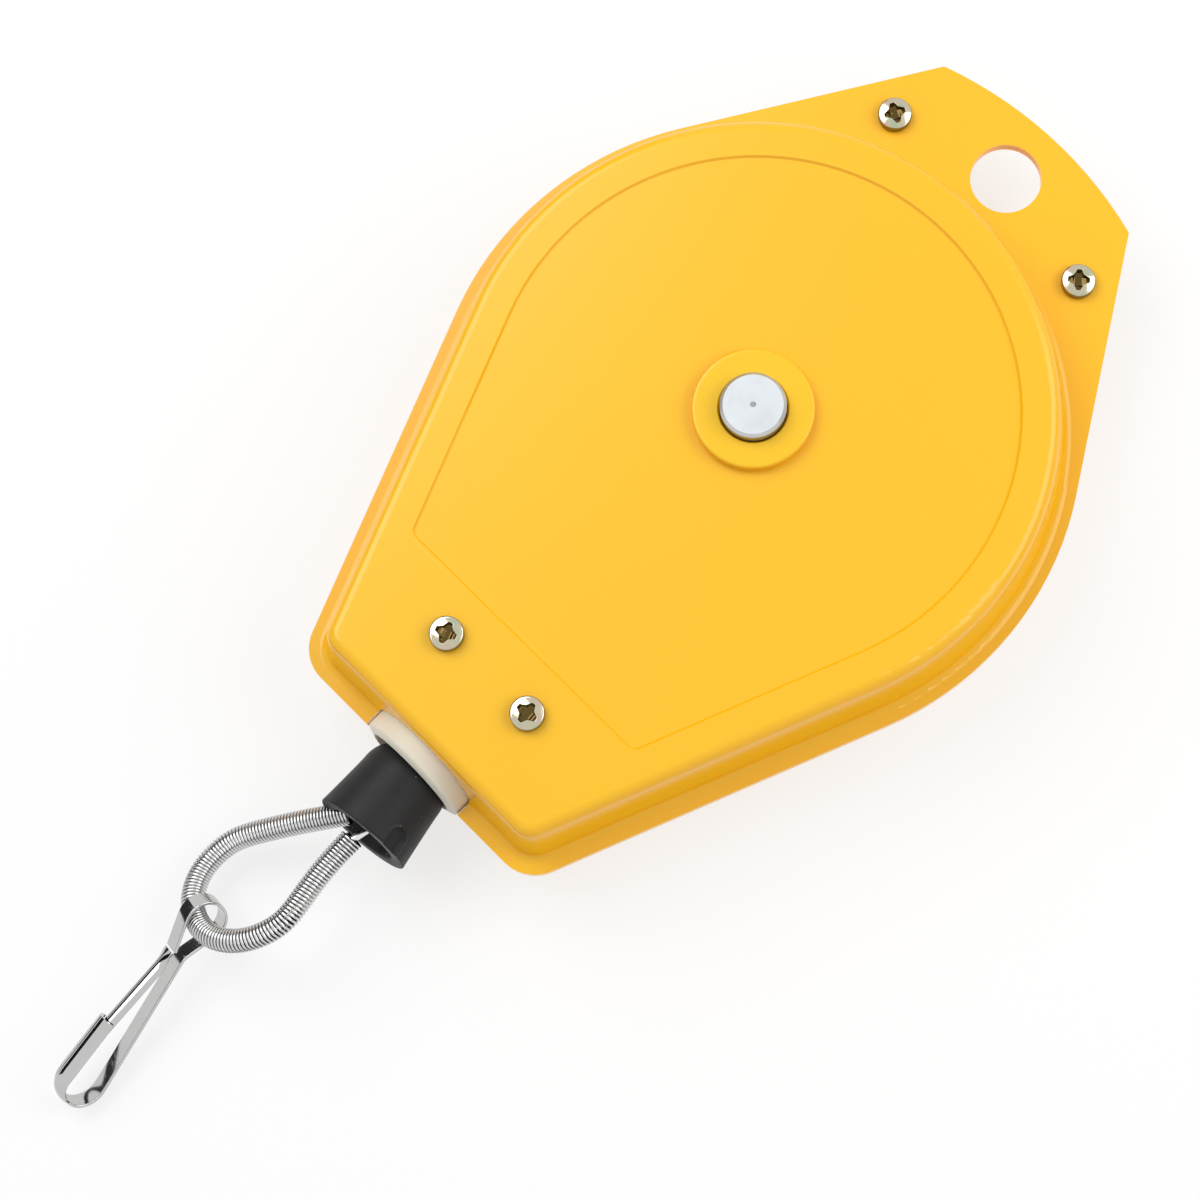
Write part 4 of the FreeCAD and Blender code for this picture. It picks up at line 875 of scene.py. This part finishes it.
class BALANCER_OT_stop(bpy.types.Operator):
    """Turns the rubber stop: rounded shoulder, flared skirt, thick lip, hollow and a moulded half-round mark"""
    bl_idname = "balancer.stop"
    bl_label = "Stop"

    def execute(self, context):
        stop = context.scene.balancer_stop
        bore = context.scene.balancer_rope.diameter / 2 + 0.45 * MM
        inside = stop.mouth_radius - stop.wall
        floor = stop.length - stop.cavity
        shoulder_at = 6.2 * MM
        bend = np.linspace(0, np.pi / 2, 24)
        skirt = np.linspace(0, 1, 64)[1:-1]
        lip = np.linspace(0, np.pi / 2, 7)
        lip_r = 0.35 * MM
        outline = np.vstack([
            [[0.0, bore], [0.0, stop.neck_radius * 0.6]],
            np.stack([shoulder_at * (1 - np.cos(bend)), stop.neck_radius + (stop.shoulder_radius - stop.neck_radius)
                      * np.sin(bend)], 1),
            np.stack([shoulder_at + (stop.length - lip_r - shoulder_at) * skirt, stop.shoulder_radius
                      + (stop.mouth_radius - stop.shoulder_radius) * skirt ** 1.15], 1),
            np.stack([stop.length - lip_r + lip_r * np.sin(lip), stop.mouth_radius - lip_r + lip_r * np.cos(lip)], 1),
            [[stop.length, inside + 0.5 * MM], [stop.length - 0.15 * MM, inside + 0.15 * MM],
             [stop.length - 0.6 * MM, inside], [stop.length - 3.0 * MM, inside - 0.2 * MM],
             [stop.length - 7.0 * MM, inside - 0.4 * MM], [floor + 1.8 * MM, inside - 0.7 * MM],
             [floor + 0.6 * MM, inside - 1.3 * MM], [floor, inside - 2.4 * MM], [floor, bore + 0.4 * MM],
             [floor - 0.3 * MM, bore], [floor / 2, bore]]])
        steps = 240
        turns = circle(steps)
        along, r = np.broadcast_to(outline[:, :1], (len(outline), steps)), outline[:, 1:]
        mark_turn, mark_at, mark_r = math.radians(45), stop.length - 3.0 * MM, 2.5 * MM
        off = (turns - mark_turn) * stop.mouth_radius
        reach = np.where(along > mark_at, np.abs(off), np.hypot(off, along - mark_at))
        outer = r > inside + 0.8 * MM
        sunk = 0.8 * MM * (1 - smooth_step(reach, mark_r - 0.45 * MM, mark_r)) * outer
        bead = 0.22 * MM * np.exp(-((reach - mark_r - 0.25 * MM) / (0.28 * MM)) ** 2) * outer
        r = r - sunk + bead
        x, z = r * np.cos(turns), r * np.sin(turns)
        oblique = smooth_step(along, 0.45 * stop.length, stop.length)
        slope = math.tan(context.scene.balancer_guide.slope)
        along = along - z * slope + oblique * (0.8 * MM - z * (math.tan(stop.mouth_tilt) - slope))
        grid = stop_place(stop, along, x, z)
        piece = joined("rubber_stop", [surface("rubber", grid, wrap_u=True, wrap_v=True)])
        complete(piece, "rubber", "rope_end", ("bumper",))
        return {"FINISHED"}


class BALANCER_OT_rope(bpy.types.Operator):
    """Lays the wire rope from the drum through the guide to the crimp, where it pays out with the stop"""
    bl_idname = "balancer.rope"
    bl_label = "Rope"

    def execute(self, context):
        radius = context.scene.balancer_rope.diameter / 2
        route = np.array([(40.34, -105.94, 0), (19.3, -148.1, 0), (7.98, -171.4, 0), (0, -187.6, 0),
                          (0, -196.95, 0), (0.94, -205.2, 0)]) * MM
        line = nurbs_line(route)
        pay_high, pay_low = -0.1912, -0.1932
        travel = next(j["range_m"][1] for j in frame["joints"] if j["name"] == "rope_pull")
        cut = int(np.searchsorted(-line[:, 1], -pay_high))
        leave = int(np.searchsorted(-line[:, 1], -pay_low))
        pays, _ = along_path(line[cut:leave], 60)
        pays[:, 1] = np.linspace(pay_high, pay_low, 60)
        inner, _ = along_path(line[:cut], 90)
        outer, _ = along_path(line[leave:], 30)
        centre = np.vstack([inner, pays, outer])
        share = (pay_high - centre[:, 1]) / (pay_high - pay_low)
        paid = travel * smooth_step(share, 0, 1)
        steps = np.linalg.norm(np.diff(centre, axis=0), axis=1)
        true_length = np.concatenate([[0], np.cumsum(steps)]) + paid
        sides, lay = 16, 11 * MM
        grid = tube_round(centre, sides, radius, np.tile(UP, (len(centre), 1)))
        turn = np.linspace(0, 1, sides, endpoint=False)
        uv = np.stack(np.broadcast_arrays(true_length[:, None] / lay, turn[None, :]), -1)
        piece = rod("wire_rope", grid, uv=uv)
        piece.data.materials.append(finish("wire"))
        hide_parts("rope_run")
        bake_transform(piece)
        return {"FINISHED"}


class BALANCER_OT_sleeve(bpy.types.Operator):
    """Winds the coil sleeve: a helix round the loop's own line, with a round wire along it"""
    bl_idname = "balancer.sleeve"
    bl_label = "Coil sleeve"

    def execute(self, context):
        sizes = context.scene.balancer_rope
        line = nurbs_line([eye_place(*spot) for spot in EYE_ROUTE])
        length = np.linalg.norm(np.diff(line, axis=0), axis=1).sum()
        per_turn = 26
        count = int(length / sizes.pitch * per_turn)
        centre, at = along_path(line, count)
        centre = softened(centre, per_turn // 2)
        angle = 2 * np.pi * at / sizes.pitch
        tangent = unit(np.gradient(centre, axis=0))
        side = unit(np.cross(EYE_OUT, tangent))
        out = np.broadcast_to(EYE_OUT, side.shape)
        radial = side * np.cos(angle)[:, None] + out * np.sin(angle)[:, None]
        helix = centre + radial * (sizes.sleeve_radius - sizes.wire / 2)
        sides = 12
        grid = tube_round(helix, sides, sizes.wire / 2, radial)
        # Painted shade: the wire is marked dark away from its outer side, in the crevices between the turns.
        from_top = np.abs(np.angle(np.exp(2j * np.pi * np.arange(sides) / sides)))
        piece = rod("coil_sleeve", grid, shade=smooth_step(from_top, 0.7, 1.5))
        complete(piece, "sleeve", "rope_end", ("eye_sleeve",))
        return {"FINISHED"}


def strip_rings(path, outward, flat, bend, thickness, corner):
    """Cross-sections of bent strip. The section is a rounded rectangle, flat wide and thickness high, rolled about
    an arc of half angle bend, so that (n, h) goes to ((R + h) sin a, (R + h) cos a - R) with a = n / R."""
    half = flat / 2
    quarter = np.linspace(0, np.pi / 2, 4)
    run = np.linspace(-1, 1, 17)
    t = thickness / 2
    across, height = [], []
    for sign_n, sign_h, first in ((1, 1, np.pi / 2), (1, -1, 0), (-1, -1, -np.pi / 2), (-1, 1, np.pi)):
        angle = first - quarter
        across.append(np.stack([np.full(4, sign_n), corner * np.cos(angle) - sign_n * corner], 1))
        height.append(sign_h * (t - corner) + corner * np.sin(angle))
    top = np.stack([run[1:-1], np.zeros(15)], 1)
    bottom = np.stack([run[::-1][1:-1], np.zeros(15)], 1)
    edge = np.vstack([top, across[0], across[1], bottom, across[2], across[3]])
    h = np.concatenate([np.full(15, t), height[0], height[1], np.full(15, -t), height[2], height[3]])
    n = edge[None, :, 0] * half[:, None] + edge[None, :, 1]
    bend = np.maximum(bend, 0.01)
    radius = (half / bend)[:, None]
    a = n / radius
    wide = (radius + h) * np.sin(a)
    high = (radius + h) * np.cos(a) - radius
    return path[:, None] + outward[:, None] * high[..., None] + HOOK_OUT * wide[..., None]


def channel(width, depth):
    """Flat width and half angle of a channel with that chord and depth, from R = (w^2 / 4 + d^2) / 2d."""
    radius = (width ** 2 / 4 + depth ** 2) / (2 * depth)
    lesser = np.arcsin(np.clip(width / 2 / radius, 0, 1))
    bend = np.where(depth > radius, np.pi - lesser, lesser)
    return 2 * radius * bend, bend


def hook_grid(plane_path, flat, bend, thickness, outside):
    """Carries the strip's section along a path of the hook's plane; outside is +1 where left of the path is out."""
    at = eye_place(RING_AT, 0) + RING_SHIFT
    path = at + (plane_path[:, :1] * HOOK_ALONG + plane_path[:, 1:] * HOOK_ACROSS) * MM
    tangent = unit(np.gradient(path, axis=0))
    outward = unit(np.cross(tangent, HOOK_OUT)) * outside
    return strip_rings(path, outward, flat, bend, thickness, 0.16 * MM)


class BALANCER_OT_hook(bpy.types.Operator):
    """Bends the snap hook's strip round its ring, neck, arm and bow, rolls it into the nose, and makes the gate"""
    bl_idname = "balancer.hook"
    bl_label = "Snap hook"

    def execute(self, context):
        sizes = context.scene.balancer_hook
        strip = sizes.strip / MM
        ring_r = sizes.ring_radius / MM - strip / 2
        bow_r = sizes.bow_radius / MM - strip / 2
        origin = np.array([-0.8, -0.7])
        gate_side, back_side = np.array([9.2, 0.5]), np.array([9.2, -2.6])
        bow_at, nose_at, gate_at_end = 47.0, 31.2, 39.5
        bow = np.array([bow_at, -3.6])
        lean = math.radians(3.0)

        def arc(centre, radius, first, last, steps):
            angle = np.linspace(first, last, steps)
            return centre + radius * np.stack([np.cos(angle), np.sin(angle)], 1)

        def touch(centre, radius, spot, side):
            reach = spot - centre
            return math.atan2(reach[1], reach[0]) + side * math.acos(radius / np.linalg.norm(reach))

        first = touch(origin, ring_r, gate_side, 1)
        last = 2 * math.pi + touch(origin, ring_r, back_side, -1)
        bow_first = touch(bow, bow_r, back_side, 1) - 2 * math.pi
        bow_last = math.pi / 2 - lean
        nose_reach = (bow_at - nose_at) / math.cos(lean)
        nose_start = bow + bow_r * np.array([math.cos(bow_last), math.sin(bow_last)])
        nose_end = nose_start + nose_reach * np.array([-math.sin(bow_last), math.cos(bow_last)])
        corners = np.vstack([gate_side[None], arc(origin, ring_r, first, last, 60), back_side[None],
                             arc(bow, bow_r, bow_first, bow_last, 60), nose_end[None]])
        path, at = along_path(corners, 560)
        path = softened(path, 5)
        bow_starts = at[np.argmin(np.linalg.norm(path - arc(bow, bow_r, bow_first, bow_last, 2)[0], axis=1))]
        nose_starts = at[-1] - nose_reach
        fold = smooth_step(at, bow_starts + 0.3 * (nose_starts - bow_starts), nose_starts + 1.0)
        width = sizes.width + (sizes.nose_width - sizes.width) * fold
        flat, bend = channel(width, np.maximum(sizes.nose_sag * fold, 0.02 * MM))
        hook = rod("strip_hook", hook_grid(path, flat, bend, sizes.strip, 1))
        complete(joined("snap_hook_strip", [hook]), "hook", "hook", ("snap_hook",))

        outward = np.array([math.cos(bow_last), math.sin(bow_last)])
        back = np.array([-math.sin(bow_last), math.cos(bow_last)])
        crown = bow + outward * (sizes.bow_radius / MM - strip - 0.3 - strip / 2)
        tip = crown + back * (bow_at - gate_at_end) / math.cos(lean)
        root = np.array([9.8, 0.5 + strip / 2])
        gate_path, gate_at = along_path(np.vstack([root, tip]), 160)
        opened = smooth_step(gate_at, 0.2, 5.0)
        gate_flat, gate_bend = channel(sizes.gate_width + (sizes.width * 0.8 - sizes.gate_width) * (1 - opened),
                                       sizes.gate_sag * (0.12 + 0.88 * opened))
        gate = rod("gate_strip", hook_grid(gate_path, gate_flat, gate_bend, sizes.strip, -1))
        complete(joined("spring_gate", [gate]), "hook", "gate", ("hook_gate",))
        return {"FINISHED"}


class BALANCER_OT_eye(bpy.types.Operator):
    """Runs the rope eye from one leg in the crimp through the sleeve to the other"""
    bl_idname = "balancer.eye"
    bl_label = "Rope eye"

    def execute(self, context):
        sizes = context.scene.balancer_rope
        points = eye_points(context.scene.balancer_stop)
        data = nurbs_curve("rope_eye_line", points)
        data.bevel_depth = sizes.diameter / 2
        data.bevel_resolution = 4
        data.use_fill_caps = True
        eye = linked("rope_eye_line", data)
        complete(eye, "eye", "rope_end", ("rope_eye",))
        return {"FINISHED"}


def soft_light(name, place, aim, size, strength):
    """A rectangular area light that faces a point."""
    data = bpy.data.lights.new(name, "AREA")
    data.shape = "RECTANGLE"
    data.size, data.size_y = size
    data.energy = strength
    lamp = linked(name, data)
    lamp.location = place
    lamp.rotation_euler = (Vector(aim) - Vector(place)).to_track_quat("-Z", "Y").to_euler()


def sight_rays(tree):
    """1 for rays from the camera, from mirrors and through glass, 0 for the light that falls on things."""
    rays = tree.nodes.new("ShaderNodeLightPath").outputs
    seen = maths(tree, "ADD", rays["Is Camera Ray"], rays["Is Glossy Ray"], use_clamp=True)
    return maths(tree, "ADD", seen, rays["Is Transmission Ray"], use_clamp=True)


def matt_material(name, colour, gloss):
    """A plain matt material."""
    return blank_material(name, Base_Color=(*colour, 1.0), Roughness=0.9, Specular_IOR_Level=gloss)


def backdrop_material(name, colour, clean):
    """Diffuse floor that keeps shadows; for the camera and the mirrors a share of it is plain white."""
    made, tree, shader, _ = matt_material(name, colour, 0.1)
    white = node(tree, "ShaderNodeEmission", {"Color": (1, 1, 1, 1), "Strength": 1.0})
    mixed = node(tree, "ShaderNodeMixShader", {0: maths(tree, "MULTIPLY", sight_rays(tree), clean),
                                               1: shader.outputs["BSDF"], 2: white.outputs["Emission"]})
    out = next(item for item in tree.nodes if item.type == "OUTPUT_MATERIAL")
    tree.links.new(mixed.outputs["Shader"], out.inputs["Surface"])
    return made


def mirror_card(name, grid, colour):
    """A card that only mirrors see, so it takes no light, casts no shadow and hides nothing."""
    card = surface(name, np.asarray(grid, float))
    card.data.materials.append(matt_material(name, colour, 0.0)[0])
    card.visible_camera = card.visible_diffuse = card.visible_shadow = False
    card.visible_transmission = card.visible_volume_scatter = False


def standing(middle, width, height):
    """Corner grid of an upright card that faces the object."""
    middle = np.asarray(middle, float)
    out = unit((middle - [0.0, DRUM_AXIS[1], 0.0]) * [1, 1, 0])
    side, rise = np.cross(UP, out) * width / 2, UP * height / 2
    return [[middle - side - rise, middle + side - rise], [middle - side + rise, middle + side + rise]]


def lying(x_first, x_last, y_first, y_last):
    """Corner grid of a card that lies flat just over the floor, in millimetres of the row frame."""
    z = -19.5
    return np.array([[[x_first, y_first, z], [x_last, y_first, z]], [[x_first, y_last, z], [x_last, y_last, z]]]) * MM


class BALANCER_OT_stage(bpy.types.Operator):
    """Sets the floor, the soft lights, the dark cards and the camera"""
    bl_idname = "balancer.stage"
    bl_label = "Stage"

    def execute(self, context):
        scene = context.scene
        stage = scene.balancer_stage
        scene.view_settings.view_transform = "Standard"

        span = 3.0
        corners = np.array([[[-span, -span], [span, -span]], [[-span, span], [span, span]]])
        level = FLOOR_Z - 0.02 * MM
        grid = np.concatenate([corners, np.full((2, 2, 1), level)], -1)
        floor = surface("floor", np.transpose(grid, (1, 0, 2)))
        floor.data.materials.append(backdrop_material("floor_white", tuple(stage.floor), stage.clean))
        card = np.array(stage.card)
        mirror_card("card_west", standing((-1.35, -0.20, 0.56), 2.0, 0.90), card)
        mirror_card("card_north_east", standing((0.95, 0.75, 0.50), 0.9, 0.70), card * 8)
        mirror_card("card_hook_west", lying(-150, -46, -335, -252), card * 2)
        mirror_card("card_hook_east", lying(13, 70, -335, -270), card * 4)
        mirror_card("card_bow", lying(-17.5, -12, -311, -296), card * 2)

        world = bpy.data.worlds.new("studio")
        scene.world = world
        world.use_nodes = True
        tree = world.node_tree
        tree.nodes.clear()
        lit, seen = (node(tree, "ShaderNodeBackground", {"Color": (1, 1, 1, 1), "Strength": strength})
                     for strength in (stage.fill, 1.0))
        pick = node(tree, "ShaderNodeMixShader", {0: sight_rays(tree), 1: lit.outputs["Background"],
                                                  2: seen.outputs["Background"]})
        node(tree, "ShaderNodeOutputWorld", {"Surface": pick.outputs["Shader"]})

        aim = (0.0, DRUM_AXIS[1], 0.0)
        soft_light("key", (-0.75, -0.15, 0.95), aim, (0.9, 0.9), stage.key)
        soft_light("rim", (0.55, 0.55, 0.75), aim, (0.9, 0.8), stage.key * 0.75)

        data = bpy.data.cameras.new("camera")
        data.lens = stage.lens
        data.sensor_width = 36.0
        data.clip_start = 0.01
        camera = linked("camera", data)
        back = Vector((0.1715, -0.0898, 0.9811)).normalized()
        up = Vector((-0.6875, 0.7023, 0.1845))
        right = up.cross(back).normalized()
        up = back.cross(right)
        place = Vector((115.6, -199.4, 645.6)) * MM
        camera.matrix_world = Matrix.Translation(place) @ Matrix((right, up, back)).transposed().to_4x4()
        scene.camera = camera
        return {"FINISHED"}


class BALANCER_PT_panel(bpy.types.Panel):
    """Lists the steps in the 3D view's sidebar"""
    bl_idname = "BALANCER_PT_panel"
    bl_label = "Balancer"
    bl_space_type = "VIEW_3D"
    bl_region_type = "UI"
    bl_category = "Balancer"

    def draw(self, context):
        for step in STEPS:
            self.layout.operator(step.bl_idname)


STEPS = (BALANCER_OT_stage, BALANCER_OT_housing, BALANCER_OT_guide, BALANCER_OT_mechanism, BALANCER_OT_springs,
         BALANCER_OT_screws, BALANCER_OT_stop, BALANCER_OT_rope, BALANCER_OT_sleeve, BALANCER_OT_hook,
         BALANCER_OT_eye)
GROUPS = {"balancer_paint": BalancerPaint, "balancer_guide": BalancerGuide, "balancer_screws": BalancerScrews,
          "balancer_stop": BalancerStop, "balancer_rope": BalancerRope, "balancer_hook": BalancerHook,
          "balancer_stage": BalancerStage}


def register():
    for group in GROUPS.values():
        bpy.utils.register_class(group)
    for name, group in GROUPS.items():
        setattr(bpy.types.Scene, name, bpy.props.PointerProperty(type=group))
    for step in STEPS + (BALANCER_PT_panel,):
        bpy.utils.register_class(step)


def unregister():
    for step in STEPS + (BALANCER_PT_panel,):
        bpy.utils.unregister_class(step)
    for name in GROUPS:
        delattr(bpy.types.Scene, name)
    for group in GROUPS.values():
        bpy.utils.unregister_class(group)


def main():
    register()
    for step in STEPS:
        category, name = step.bl_idname.split(".")
        getattr(getattr(bpy.ops, category), name)()


if __name__ == "__main__":
    main()
